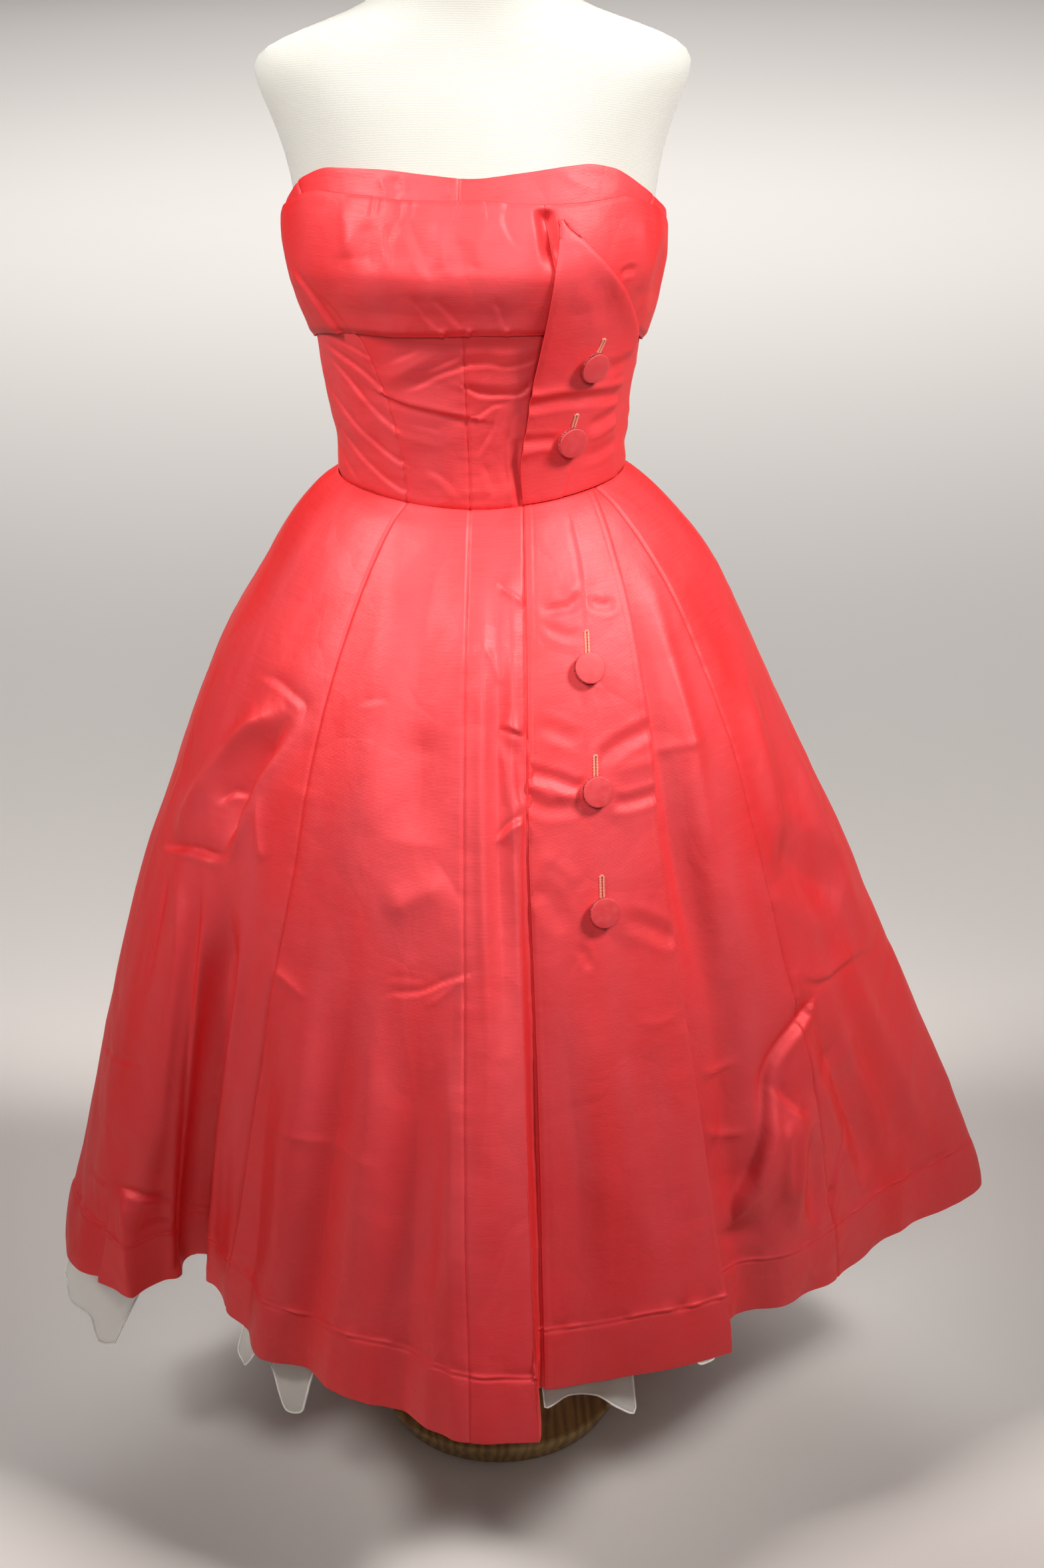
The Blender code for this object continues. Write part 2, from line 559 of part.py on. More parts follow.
def build_stand(wood, metal):
    """The turned base and the pole that carries the form."""
    turned("stand_base", ((BASE_FOOT_RADIUS - 0.002, 0.0), (BASE_FOOT_RADIUS, 0.002),
                          (BASE_RADIUS - 0.002, BASE_HEIGHT - 0.010), (BASE_RADIUS, BASE_HEIGHT - 0.006),
                          (BASE_RADIUS - 0.001, BASE_HEIGHT - 0.002), (BASE_RADIUS - 0.004, BASE_HEIGHT)),
           48, wood)
    turned("stand_pole", ((POLE_RADIUS, BASE_HEIGHT + TINY_GAP),
                          (POLE_RADIUS, WAIST_Z + FORM_BOTTOM - TINY_GAP)), 16, metal)


def build_all():
    """Clear the scene and build every piece."""
    for old in list(bpy.data.objects):
        bpy.data.objects.remove(old, do_unlink=True)
    taffeta = material("coral_taffeta", (0.83, 0.08, 0.08), 0.45)
    covered = material("covered_button", (0.60, 0.07, 0.09), 0.6)
    organza = material("ivory_organza", (0.93, 0.91, 0.84), 0.6)
    jersey = material("cream_jersey", (0.87, 0.84, 0.74), 0.9)
    wood = material("ochre_wood", (0.45, 0.27, 0.09), 0.5)
    steel = material("pole_steel", (0.6, 0.6, 0.6), 0.35, 1.0)
    build_skirt(taffeta)
    build_placket(taffeta)
    build_underskirt(organza)
    build_bodice(taffeta)
    build_cuff(taffeta)
    build_tab(taffeta)
    build_buttons(covered)
    lofted("form_torso", FORM_SECTIONS, FORM_COLUMNS, jersey)
    build_stand(wood, steel)


build_all()
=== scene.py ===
"""Strapless cocktail dress of shot taffeta on a limbless dress form: the finish of every surface.

Metres, +Z up, front towards -Y. Left and right are the wearer's, whose left is +X. Azimuths are in
degrees, 0 at the front and growing towards +X. Every cloth piece is a thin closed shell on the form
that its sewn panel takes, with its own folds, creases and seams.
"""
from __future__ import annotations

import logging
import math
from dataclasses import dataclass, field
from enum import Enum
from typing import Callable, Sequence

import bpy
import numpy as np
from mathutils import Matrix, Vector

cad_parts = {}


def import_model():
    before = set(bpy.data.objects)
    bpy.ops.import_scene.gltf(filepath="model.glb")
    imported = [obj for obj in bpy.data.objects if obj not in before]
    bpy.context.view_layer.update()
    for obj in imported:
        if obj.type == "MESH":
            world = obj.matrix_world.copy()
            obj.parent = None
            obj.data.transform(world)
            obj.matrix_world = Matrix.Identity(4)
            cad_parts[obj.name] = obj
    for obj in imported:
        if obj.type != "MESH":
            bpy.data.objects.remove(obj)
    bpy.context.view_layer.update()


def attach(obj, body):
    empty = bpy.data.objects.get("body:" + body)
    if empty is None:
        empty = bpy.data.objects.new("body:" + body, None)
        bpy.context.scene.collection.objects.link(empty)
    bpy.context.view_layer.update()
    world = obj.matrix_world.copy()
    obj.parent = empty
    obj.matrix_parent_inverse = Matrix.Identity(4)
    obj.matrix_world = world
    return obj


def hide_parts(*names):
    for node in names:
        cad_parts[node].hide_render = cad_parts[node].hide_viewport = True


LOG = logging.getLogger("dress")

Array = np.ndarray
Surface = Callable[[Array, Array], Array]
Colour = tuple[float, float, float]
Place = tuple[float, float]
Piece = bpy.types.Object
Material = bpy.types.Material
Socket = bpy.types.NodeSocket

WAIST_Z = 0.935
BODY = "root"
MILLIMETRE = 0.001
SEAM_GAP = 0.12 * MILLIMETRE


# ---------------------------------------------------------------- numbers and curves


def smooth_curve(xs: Sequence[float], ys: Sequence[float], x: Array) -> Array:
    """Monotone cubic through the points (xs, ys), read at x.

    Args:
        xs: Growing places of the points.
        ys: Their values.
        x: Where to read the curve.

    Returns:
        The curve's values, held level past both ends.
    """
    xs, ys = np.asarray(xs, float), np.asarray(ys, float)
    widths = np.diff(xs)
    chords = np.diff(ys) / widths
    slopes = np.zeros(len(xs))
    slopes[0] = chords[0]
    product, total = chords[:-1] * chords[1:], chords[:-1] + chords[1:]
    slopes[1:-1] = np.where(product > 0, 2 * product / np.where(product > 0, total, 1.0), 0.0)
    x = np.clip(x, xs[0], xs[-1])
    k = np.clip(np.searchsorted(xs, x, side="right") - 1, 0, len(xs) - 2)
    s = (x - xs[k]) / widths[k]
    near, far = slopes[k] * widths[k], slopes[k + 1] * widths[k]
    return ((1 + 2 * s) * (1 - s) ** 2 * ys[k] + s * (1 - s) ** 2 * near
            + s * s * (3 - 2 * s) * ys[k + 1] + s * s * (s - 1) * far)


def read_rows(rows: Sequence, key: str, name: str, x: Array) -> Array:
    """One named number of the rows of a table, read at x, which counts as the rows' key does."""
    return smooth_curve([getattr(row, key) for row in rows], [getattr(row, name) for row in rows], x)


def smooth_step(low: float, high: float, x: Array) -> Array:
    """From 0 at low to 1 at high, level at both ends."""
    s = np.clip((x - low) / (high - low), 0.0, 1.0)
    return s * s * (3 - 2 * s)


def polar(azimuth: Array, radius: Array, z: Array) -> Array:
    """Points at these azimuths, radii and heights round the axis."""
    turn = np.radians(azimuth)
    return np.stack(np.broadcast_arrays(radius * np.sin(turn), -radius * np.cos(turn), z), axis=-1)


def azimuth_of(points: Array) -> Array:
    """Azimuths of points round the axis."""
    return np.degrees(np.arctan2(points[..., 0], -points[..., 1]))


def waist_height(azimuth: Array) -> Array:
    """The waist seam, which dips at the front."""
    return WAIST_Z + 0.004 - 0.01 * np.maximum(0.0, np.cos(np.radians(azimuth))) ** 2


def unit(vectors: Array) -> Array:
    """The vectors with length one."""
    return vectors / np.maximum(np.linalg.norm(vectors, axis=-1, keepdims=True), 1e-12)


def scatter(cell: Array, seed: int) -> Array:
    """A number from -1 to 1 for each cell, with no pattern from one to the next."""
    mixed = (cell[..., 0] * 73856093) ^ (cell[..., 1] * 19349663) ^ (cell[..., 2] * 83492791) ^ (seed * 2654435761)
    mixed = (mixed ^ (mixed >> 13)) & 0xFFFFFFFF
    mixed = (mixed * 1274126177) & 0xFFFFFFFF
    mixed = mixed ^ (mixed >> 16)
    return (mixed & 0xFFFF) / 32767.5 - 1.0


def soft_noise(points: Array, seed: int) -> Array:
    """Smooth value noise.

    Args:
        points: Places in cells of the noise, three numbers each.
        seed: Which noise.

    Returns:
        Values from -1 to 1, one for each place.
    """
    cell = np.floor(points).astype(np.int64)
    part = points - cell
    ease = part ** 3 * (part * (part * 6 - 15) + 10)
    total = np.zeros(points.shape[:-1])
    for corner in np.ndindex(2, 2, 2):
        weight = np.prod(np.where(np.array(corner) == 1, ease, 1 - ease), axis=-1)
        total += weight * scatter(cell + np.array(corner), seed)
    return total


def facet_noise(points: Array, seed: int) -> Array:
    """Noise of flat facets that meet in crisp lines, as crushed taffeta does.

    Args:
        points: Places in cells of the noise, three numbers each.
        seed: Which noise.

    Returns:
        Values from -1 to 1, straight between the corners of each facet.
    """
    bent = np.stack([soft_noise(points * 0.63 + 7.0 * k, seed + k) for k in (1, 2, 3)], axis=-1)
    points = points + 0.55 * bent
    cell = np.floor(points).astype(np.int64)
    part = points - cell
    order = np.argsort(-part, axis=-1)
    sorted_part = np.take_along_axis(part, order, axis=-1)
    weights = [1 - sorted_part[..., 0], sorted_part[..., 0] - sorted_part[..., 1],
               sorted_part[..., 1] - sorted_part[..., 2], sorted_part[..., 2]]
    corner, total = cell.copy(), np.zeros(points.shape[:-1])
    for k, weight in enumerate(weights):
        if k:
            step = np.zeros_like(cell)
            np.put_along_axis(step, order[..., k - 1:k], 1, axis=-1)
            corner = corner + step
        total += weight * scatter(corner, seed)
    return total


@dataclass(frozen=True)
class Wave:
    """Uneven waves of the cloth: waves a metre on each axis, their height, and which noise they are."""

    per_metre: tuple[float, float, float]
    height: float
    seed: int
    crisp: bool = False
    shift: float = 0.0

    def lift(self, points: Array) -> Array:
        """How far the waves move each point."""
        noise = facet_noise if self.crisp else soft_noise
        return noise(points * np.array(self.per_metre, float) + self.shift, self.seed) * self.height


# ---------------------------------------------------------------- shape of the body and the skirt


@dataclass(frozen=True)
class Section:
    """A level section: its height, or drop, and its reach on four sides."""

    height: float
    right: float
    left: float
    front: float
    back: float


@dataclass(frozen=True)
class Block:
    """A rounded shape through level sections."""

    sections: tuple[Section, ...]

    def reach(self, height: Array, azimuth: Array) -> Array:
        """Distance from the axis to the outside.

        Args:
            height: Height or drop of the point, as the sections count it.
            azimuth: Azimuth of the point.

        Returns:
            The radius there.
        """
        turn = np.radians(azimuth)
        left, right, front, back = (read_rows(self.sections, "height", side, height)
                                    for side in ("left", "right", "front", "back"))
        across = np.where(np.sin(turn) > 0, left, right)
        depth = np.where(np.cos(turn) > 0, front, back)
        return 1.0 / np.hypot(np.sin(turn) / across, np.cos(turn) / depth)


@dataclass(frozen=True)
class Fold:
    """A ridge or hollow of the hem seen from above: where its fold starts, and its sideways swing."""

    azimuth: float
    radius: float
    start: float = 0.2
    swing: float = 0.0


@dataclass(frozen=True)
class Seam:
    """Azimuth of a seam at the waist, at the middle of the drop and at the hem."""

    waist: float
    middle: float
    hem: float


SKIRT_BLOCK = Block((
    Section(0.000, 0.119, 0.119, 0.094, 0.092),
    Section(0.012, 0.137, 0.135, 0.11, 0.108),
    Section(0.038, 0.16, 0.161, 0.132, 0.132),
    Section(0.08, 0.186, 0.193, 0.16, 0.165),
    Section(0.14, 0.222, 0.222, 0.19, 0.2),
    Section(0.22, 0.254, 0.257, 0.219, 0.235),
    Section(0.34, 0.292, 0.306, 0.252, 0.275),
    Section(0.48, 0.322, 0.358, 0.283, 0.312),
    Section(0.6, 0.34, 0.395, 0.305, 0.34),
    Section(0.718, 0.354, 0.425, 0.325, 0.364),
))

HEM_FOLDS = (
    Fold(-180, 0.372, 0.3), Fold(-164, 0.345, 0.3), Fold(-148, 0.385, 0.25), Fold(-131, 0.342, 0.3),
    Fold(-115, 0.38, 0.25), Fold(-99, 0.356, 0.25), Fold(-86, 0.4), Fold(-79, 0.39, 0.25, 2.5),
    Fold(-74, 0.362, 0.25, 5), Fold(-69, 0.314, 0.3, -1), Fold(-65, 0.288, 0.3, -7), Fold(-61, 0.281, 0.3, -7),
    Fold(-57, 0.283, 0.3), Fold(-44, 0.298, 0.3), Fold(-24, 0.303, 0.3), Fold(-12, 0.322, 0.3),
    Fold(-1, 0.354, 0.25), Fold(5.4, 0.352, 0.25, 0.4), Fold(7.4, 0.283, 0.25), Fold(24, 0.274),
    Fold(49, 0.272), Fold(57, 0.303, 0.25), Fold(66, 0.325, 0.3), Fold(74, 0.344, 0.3), Fold(79, 0.357, 0.3),
    Fold(84, 0.388, 0.3), Fold(89.5, 0.44, 0.25), Fold(94, 0.464, 0.25), Fold(98, 0.45, 0.25),
    Fold(105, 0.422, 0.25), Fold(115, 0.388, 0.25), Fold(126, 0.404, 0.25), Fold(139, 0.354, 0.3),
    Fold(152, 0.388, 0.25), Fold(167, 0.35, 0.3), Fold(180, 0.372, 0.3),
)
UNDERSKIRT_FOLDS = (
    Fold(-180, 0.345), Fold(-164, 0.322), Fold(-148, 0.352), Fold(-131, 0.318), Fold(-115, 0.348),
    Fold(-99, 0.333), Fold(-88, 0.392), Fold(-82, 0.368), Fold(-76, 0.3), Fold(-69, 0.236), Fold(-56, 0.24),
    Fold(-44, 0.28), Fold(-30, 0.278), Fold(-14, 0.29), Fold(0, 0.268), Fold(12, 0.262), Fold(30, 0.256),
    Fold(48, 0.252), Fold(60, 0.284), Fold(75, 0.308), Fold(83, 0.344), Fold(94, 0.42), Fold(105, 0.388),
    Fold(115, 0.356), Fold(126, 0.37), Fold(139, 0.326), Fold(152, 0.354), Fold(167, 0.324), Fold(180, 0.345),
)

SKIRT_SEAMS = (
    Seam(-180.0, -180.0, -180.0),  # centre back
    Seam(-142.0, -140.0, -139.0),  # right back princess seam
    Seam(-95.0, -94.0, -96.0),  # right side
    Seam(-36.0, -39.0, -57.0),  # right princess seam
    Seam(-5.0, -4.3, -3.5),  # centre front
    Seam(21.0, 8.2, 7.8),  # under the placket
    Seam(58.0, 58.0, 68.0),  # left princess seam
    Seam(95.0, 94.0, 98.0),  # left side
    Seam(142.0, 140.0, 139.0),  # left back princess seam
    Seam(180.0, 180.0, 180.0),  # centre back again
)


@dataclass(frozen=True)
class SkirtForm:
    """The outside of the skirt. A grain line is named by the azimuth at which it meets the hem."""

    drop: float = 0.718
    middle: float = 0.35

    def spread(self, share: Array) -> Array:
        """How far out of the waist the skirt has come, from 0 to 1."""
        sections = SKIRT_BLOCK.sections
        mean = [(s.right + s.left + s.front + s.back) / 4 for s in sections]
        here = smooth_curve([s.height for s in sections], mean, np.asarray(share) * self.drop)
        return (here - mean[0]) / (mean[-1] - mean[0])

    def line_azimuth(self, waist: Array, middle: Array, hem: Array, share: Array) -> Array:
        """Azimuth of a line of the cloth, which runs straight, seen from above, down to the middle.

        Args:
            waist: Its azimuth at the waist.
            middle: Its azimuth at the middle of the drop.
            hem: Its azimuth at the hem.
            share: Share of the drop, from 0 at the waist to 1 at the hem.

        Returns:
            The azimuth there.
        """
        below = np.clip((share - self.middle) / (1 - self.middle), 0.0, 1.0) ** 1.3
        top = polar(waist, SKIRT_BLOCK.reach(0.0, waist), 0.0)
        low = polar(middle, SKIRT_BLOCK.reach(self.middle * self.drop, middle), 0.0)
        part = np.clip(self.spread(share) / self.spread(self.middle), 0.0, 1.0)
        here = top + (low - top) * np.asarray(part)[..., None]
        azimuth = azimuth_of(here)
        azimuth -= 360.0 * np.round((azimuth - middle) / 360.0)
        return np.where(share >= self.middle, middle + (hem - middle) * below, azimuth)

    def share_of(self, points: Array) -> Array:
        """Share of the drop at which points lie."""
        return np.clip((WAIST_Z - points[..., 2]) / self.drop, 0.0, 1.0)

    def grain_azimuth(self, grain: Array, share: Array) -> Array:
        """Azimuth of a grain line at a share of the drop, read between the seams."""
        hems = [s.hem for s in SKIRT_SEAMS]
        waist = np.interp(grain, hems, [s.waist for s in SKIRT_SEAMS])
        middle = np.interp(grain, hems, [s.middle for s in SKIRT_SEAMS])
        return self.line_azimuth(waist, middle, grain, share)

    def grain_at(self, azimuth: Array, share: Array) -> Array:
        """The grain line that passes an azimuth at a share of the drop."""
        low, high = np.full(np.shape(azimuth), -180.0), np.full(np.shape(azimuth), 180.0)
        for _ in range(24):
            middle = (low + high) / 2
            before = self.grain_azimuth(middle, share) < azimuth
            low, high = np.where(before, middle, low), np.where(before, high, middle)
        return (low + high) / 2

    def fold(self, folds: Sequence[Fold], grain: Array, share: Array) -> tuple[Array, Array]:
        """How far the folds stand out of the plain skirt, and how far they swing.

        Args:
            folds: The ridges and hollows at the hem.
            grain: Grain line of the point.
            share: Share of the drop.

        Returns:
            The stand in metres and the swing in degrees.
        """
        start, radius, swing = (read_rows(folds, "azimuth", name, grain) for name in ("start", "radius", "swing"))
        growth = np.clip((share - start) / (1 - start), 0.0, 1.2) ** 1.3
        plain = SKIRT_BLOCK.reach(self.drop, grain)
        return (radius - plain) * growth, swing * growth

    def point(self, grain: Array, share: Array) -> Array:
        """Outside of the skirt on a grain line, at a share of its drop."""
        azimuth = self.grain_azimuth(grain, share)
        stand, swing = self.fold(HEM_FOLDS, grain, share)
        radius = SKIRT_BLOCK.reach(share * self.drop, azimuth) + stand
        z = waist_height(azimuth) * (1 - share) + (WAIST_Z - self.drop) * share
        return polar(azimuth + swing, radius, z)


SKIRT = SkirtForm()


def normal_of(surface: Surface, u: Array, v: Array, u_step: float, v_step: float = 0.004) -> Array:
    """Unit normal of a surface, pointing away from the axis."""
    along = surface(u + u_step, v) - surface(u - u_step, v)
    down = surface(u, v + v_step) - surface(u, v - v_step)
    return outward(np.cross(along, down), surface(u, v))


def outward(normals: Array, points: Array) -> Array:
    """The normals with length one, all turned away from the axis."""
    away = np.sum(normals[..., :2] * points[..., :2], axis=-1, keepdims=True)
    return unit(np.where(away < 0, -normals, normals))


@dataclass(frozen=True)
class PlacketForm:
    """The button placket, laid on the left front gore, which stands off it towards the hem."""

    inner: Seam = Seam(21.4, 8.6, 8.2)
    outer: Seam = Seam(56.0, 36.5, 41.0)
    layer: float = 0.0022
    stand: float = 0.034

    def edges(self, share: Array) -> list[Array]:
        """Azimuths of the inner and the outer edge at a share of the drop."""
        return [SKIRT.line_azimuth(edge.waist, edge.middle, edge.hem, share) for edge in (self.inner, self.outer)]

    def point(self, across: Array, share: Array) -> Array:
        """Outside of the placket, across it from 0 to 1, at a share of the drop."""
        inner, outer = self.edges(share)
        grain = SKIRT.grain_at(inner + (outer - inner) * across, share)
        on_gore = SKIRT.point(grain, share)
        normal = normal_of(SKIRT.point, grain, share, 0.5)
        lower = np.clip((share - 0.3) / 0.7, 0.0, 1.0)
        stand = self.stand * np.clip(across, 0.0, 1.0) ** 1.6 * lower ** 1.4
        level = on_gore * np.array([1.0, 1.0, 0.0])
        return on_gore + normal * self.layer + unit(level) * stand[..., None]


PLACKET = PlacketForm()


@dataclass(frozen=True)
class Line:
    """A height, or a drop, at an azimuth."""

    azimuth: float
    height: float


def lines(*places: Place) -> tuple[Line, ...]:
    """A line round the body, from its azimuths and heights."""
    return tuple(Line(*place) for place in places)


def read_line(line: Sequence[Line], azimuth: Array) -> Array:
    """The height of a line that runs round the body."""
    return read_rows(line, "azimuth", "height", azimuth)


# The underskirt's handkerchief points: how far below the waist its edge hangs.
UNDERSKIRT_HEM = lines(
    (-180, 0.755), (-172, 0.735), (-163, 0.695), (-150, 0.7), (-142, 0.748), (-134, 0.762), (-126, 0.7),
    (-108, 0.695), (-101, 0.73), (-96, 0.768), (-92.5, 0.768), (-90.5, 0.772), (-86, 0.77), (-82.6, 0.782),
    (-80.6, 0.786), (-79.9, 0.8), (-79, 0.814), (-78.1, 0.812), (-77.5, 0.7), (-67, 0.695), (-65, 0.735),
    (-62.5, 0.786), (-59, 0.792), (-56.8, 0.772), (-55.8, 0.712), (-48, 0.728), (-43, 0.738), (-40, 0.755),
    (-37, 0.768), (-34.5, 0.764), (-33.2, 0.712), (-28, 0.695), (0, 0.695), (7, 0.7), (8.6, 0.744), (13, 0.737),
    (18, 0.742), (22, 0.757), (25.2, 0.766), (26.8, 0.718), (30, 0.704), (37, 0.716), (42, 0.755), (45, 0.757),
    (48, 0.71), (56, 0.69), (100, 0.69), (108, 0.742), (116, 0.758), (124, 0.695), (140, 0.7), (148, 0.748),
    (156, 0.762), (164, 0.705), (174, 0.742), (180, 0.755),
)


@dataclass(frozen=True)
class UnderskirtForm:
    """The sheer underskirt, which hangs inside the skirt, with points below its hem."""

    top: float = 0.06
    inset: float = 0.027
    flare: float = 0.42

    def point(self, grain: Array, share: Array) -> Array:
        """Outside of the underskirt on a grain line, at a share of its own drop."""
        grain = np.where(grain > 180.0, grain - 360.0, grain)
        drop = self.top + (read_line(UNDERSKIRT_HEM, grain) - self.top) * share
        on_skirt = np.minimum(1.0, drop / SKIRT.drop)
        azimuth = SKIRT.grain_azimuth(grain, on_skirt)
        radius = SKIRT_BLOCK.reach(np.minimum(drop, SKIRT.drop), azimuth) - self.inset * (1 - on_skirt)
        radius = radius + SKIRT.fold(UNDERSKIRT_FOLDS, grain, on_skirt)[0]
        radius = radius + self.flare * np.maximum(0.0, drop - SKIRT.drop)
        return polar(azimuth, radius, WAIST_Z - drop)


UNDERSKIRT = UnderskirtForm()

BODICE_BLOCK = Block((
    Section(0.000, 0.119, 0.119, 0.094, 0.092),
    Section(0.03, 0.118, 0.1205, 0.0955, 0.093),
    Section(0.06, 0.1235, 0.123, 0.099, 0.095),
    Section(0.09, 0.1275, 0.127, 0.103, 0.097),
    Section(0.12, 0.1315, 0.133, 0.109, 0.099),
    Section(0.15, 0.139, 0.14, 0.116, 0.101),
    Section(0.185, 0.148, 0.1485, 0.1225, 0.1025),
    Section(0.21, 0.1515, 0.152, 0.118, 0.103),
    Section(0.235, 0.152, 0.1525, 0.11, 0.103),
    Section(0.265, 0.15, 0.1505, 0.0995, 0.103),
))
NECKLINE = lines(
    (-180, 0.186), (-140, 0.19), (-110, 0.203), (-90, 0.216), (-77, 0.234), (-69, 0.25), (-58, 0.259),
    (-40, 0.26), (-20, 0.257), (0, 0.254), (20, 0.257), (46, 0.2605), (56, 0.256), (68, 0.237), (76, 0.224),
    (90, 0.21), (110, 0.2), (140, 0.19), (180, 0.186),
)
CUFF_TOP = lines(
    (-180, 0.176), (-140, 0.18), (-110, 0.195), (-90, 0.21), (-77, 0.227), (-58, 0.243), (-40, 0.2425),
    (-26, 0.2405), (0, 0.24), (24, 0.236), (40, 0.235), (56, 0.236), (68, 0.226), (80, 0.211), (90, 0.202),
    (110, 0.19), (140, 0.18), (180, 0.176),
)
CUFF_BOTTOM = lines(
    (-180, 0.098), (-130, 0.102), (-90, 0.114), (-70, 0.126), (-45, 0.134), (0, 0.137), (45, 0.133),
    (70, 0.122), (90, 0.107), (130, 0.1), (180, 0.098),
)


@dataclass(frozen=True)
class BodiceForm:
    """The fitted bodice, full over the bust, and the cuff that is turned back over it."""

    bust_azimuth: float = 36.0
    bust_spread: float = 26.0
    bust_height: float = 0.185
    bust_fall: float = 0.055
    fullness: float = 0.007

    def radius(self, azimuth: Array, height: Array) -> Array:
        """Outside of the bodice at a height above the waist."""
        side = (np.abs(azimuth) - self.bust_azimuth) / self.bust_spread
        rise = (height - self.bust_height) / self.bust_fall
        return BODICE_BLOCK.reach(height, azimuth) + self.fullness * np.exp(-side * side - rise * rise)

    def at_height(self, azimuth: Array, height: Array) -> Array:
        """Outside of the bodice at an azimuth and a height above the waist."""
        return polar(azimuth, self.radius(azimuth, height), WAIST_Z + height)

    def at_share(self, azimuth: Array, share: Array) -> Array:
        """Outside of the bodice at a share of the way from the waist seam to the neckline."""
        low = waist_height(azimuth) - WAIST_Z
        return self.at_height(azimuth, low + (read_line(NECKLINE, azimuth) - low) * share)

    def cuff(self, azimuth: Array, share: Array) -> Array:
        """Outside of the cuff, from its top edge at 0 to its bottom edge at 1."""
        top, bottom = read_line(CUFF_TOP, azimuth), read_line(CUFF_BOTTOM, azimuth)
        height = top + (bottom - top) * share
        lift = smooth_curve((0.0, 0.3, 0.7, 1.0), (0.004, 0.0062, 0.0072, 0.005), share)
        eased = smooth_step(34.0, 62.0, azimuth) * (1 - smooth_step(0.0, 0.35, share)) * 0.0017
        return polar(azimuth, self.radius(azimuth, height) + lift - eased, WAIST_Z + height)


BODICE = BodiceForm()


@dataclass(frozen=True)
class TabRow:
    """A row across the lapel tab: both edges' azimuths, and its reach past the bodice."""

    height: float
    inner: float
    outer: float
    lift: float


TAB_ROWS = (
    TabRow(0.000, 20.5, 72.0, 0.0024), TabRow(0.03, 19.0, 68.0, 0.0036),
    TabRow(0.06, 20.8, 64.0, 0.006), TabRow(0.09, 21.8, 63.5, 0.0085),
    TabRow(0.12, 23.2, 65.0, 0.0105), TabRow(0.15, 24.2, 57.0, 0.0112),
    TabRow(0.185, 25.2, 44.0, 0.0105), TabRow(0.208, 27.6, 36.0, 0.0092),
    TabRow(0.225, 29.0, 31.2, 0.008),
)


def tab_point(across: Array, height: Array) -> Array:
    """Outside of the lapel tab, across it from 0 to 1, at a height above the waist."""
    inner, outer, lift = (read_rows(TAB_ROWS, "height", name, height) for name in ("inner", "outer", "lift"))
    azimuth = inner + (outer - inner) * across
    lowered = (waist_height(azimuth) - WAIST_Z) * np.clip(1 - height / 0.05, 0.0, 1.0)
    radius = BODICE.radius(azimuth, height) + lift
    return polar(azimuth, radius, WAIST_Z + height + lowered)


# ---------------------------------------------------------------- creases


class Form(Enum):
    """What a crease does to the cloth."""

    TROUGH = "a soft hollow with low banks"
    RIDGE = "a soft rounded ridge"
    FOLD = "a sharp crest"
    LEDGE = "a step, raised on the left of its line as seen from outside"
    TUCK = "a sharp groove with a long bank on the left of its line and a raised lip on its right"


class Fade(Enum):
    """Which ends of a crease die away."""

    BOTH = (True, True)
    START = (True, False)
    END = (False, True)
    NEITHER = (False, False)


@dataclass(frozen=True)
class Crease:
    """One crease through places of its surface, their second number in thousandths; rise and width in millimetres."""

    form: Form
    places: tuple[Place, ...]
    rise: float
    width: float
    fade: Fade = Fade.BOTH

    def line(self, surface: Surface, across: float, count: int = 18) -> Array:
        """The crease's own line on the surface, whose first number counts in this unit."""
        knots = np.arange(len(self.places), dtype=float)
        t = np.linspace(0.0, knots[-1], count)
        us, vs = np.array(self.places, float).T
        return surface(smooth_curve(knots, us * across, t), smooth_curve(knots, vs * MILLIMETRE, t))

    def section(self, side: Array) -> Array:
        """Height of the crease beside its line.

        Args:
            side: Distance to the left of the line, in widths.

        Returns:
            The height as a share of the rise.
        """
        far = np.abs(side)
        if self.form is Form.TROUGH:
            return -np.exp(-far ** 1.5) + 0.36 * np.exp(-((far - 1.7) / 0.62) ** 2)
        if self.form is Form.RIDGE:
            return np.exp(-far ** 1.55)
        if self.form is Form.FOLD:
            return np.exp(-1.25 * np.sqrt(far ** 2 + 0.012)) * 1.13
        if self.form is Form.TUCK:
            bank = np.exp(-1.15 * np.sqrt(np.maximum(side, 0.0) ** 2 + 0.01) + 0.1)
            steep = np.exp(-3.4 * np.sqrt(np.minimum(side, 0.0) ** 2 + 0.006) + 0.2)
            return -np.where(side > 0, bank, steep) + 0.22 * np.exp(-((side + 0.75) / 0.4) ** 2)
        raised = 0.5 + 0.5 * np.tanh(5.0 * side)
        return raised * np.exp(-0.85 * np.maximum(side, 0.0)) - 0.25 * np.exp(-((side + 0.5) / 0.4) ** 2)

    def ends(self, along: Array) -> Array:
        """How much of the crease is left at a share of the way along it."""
        first, last = self.fade.value
        kept = np.ones_like(along)
        if first:
            kept = kept * smooth_step(0.0, 0.34, along)
        if last:
            kept = kept * smooth_step(0.0, 0.34, 1 - along)
        return kept


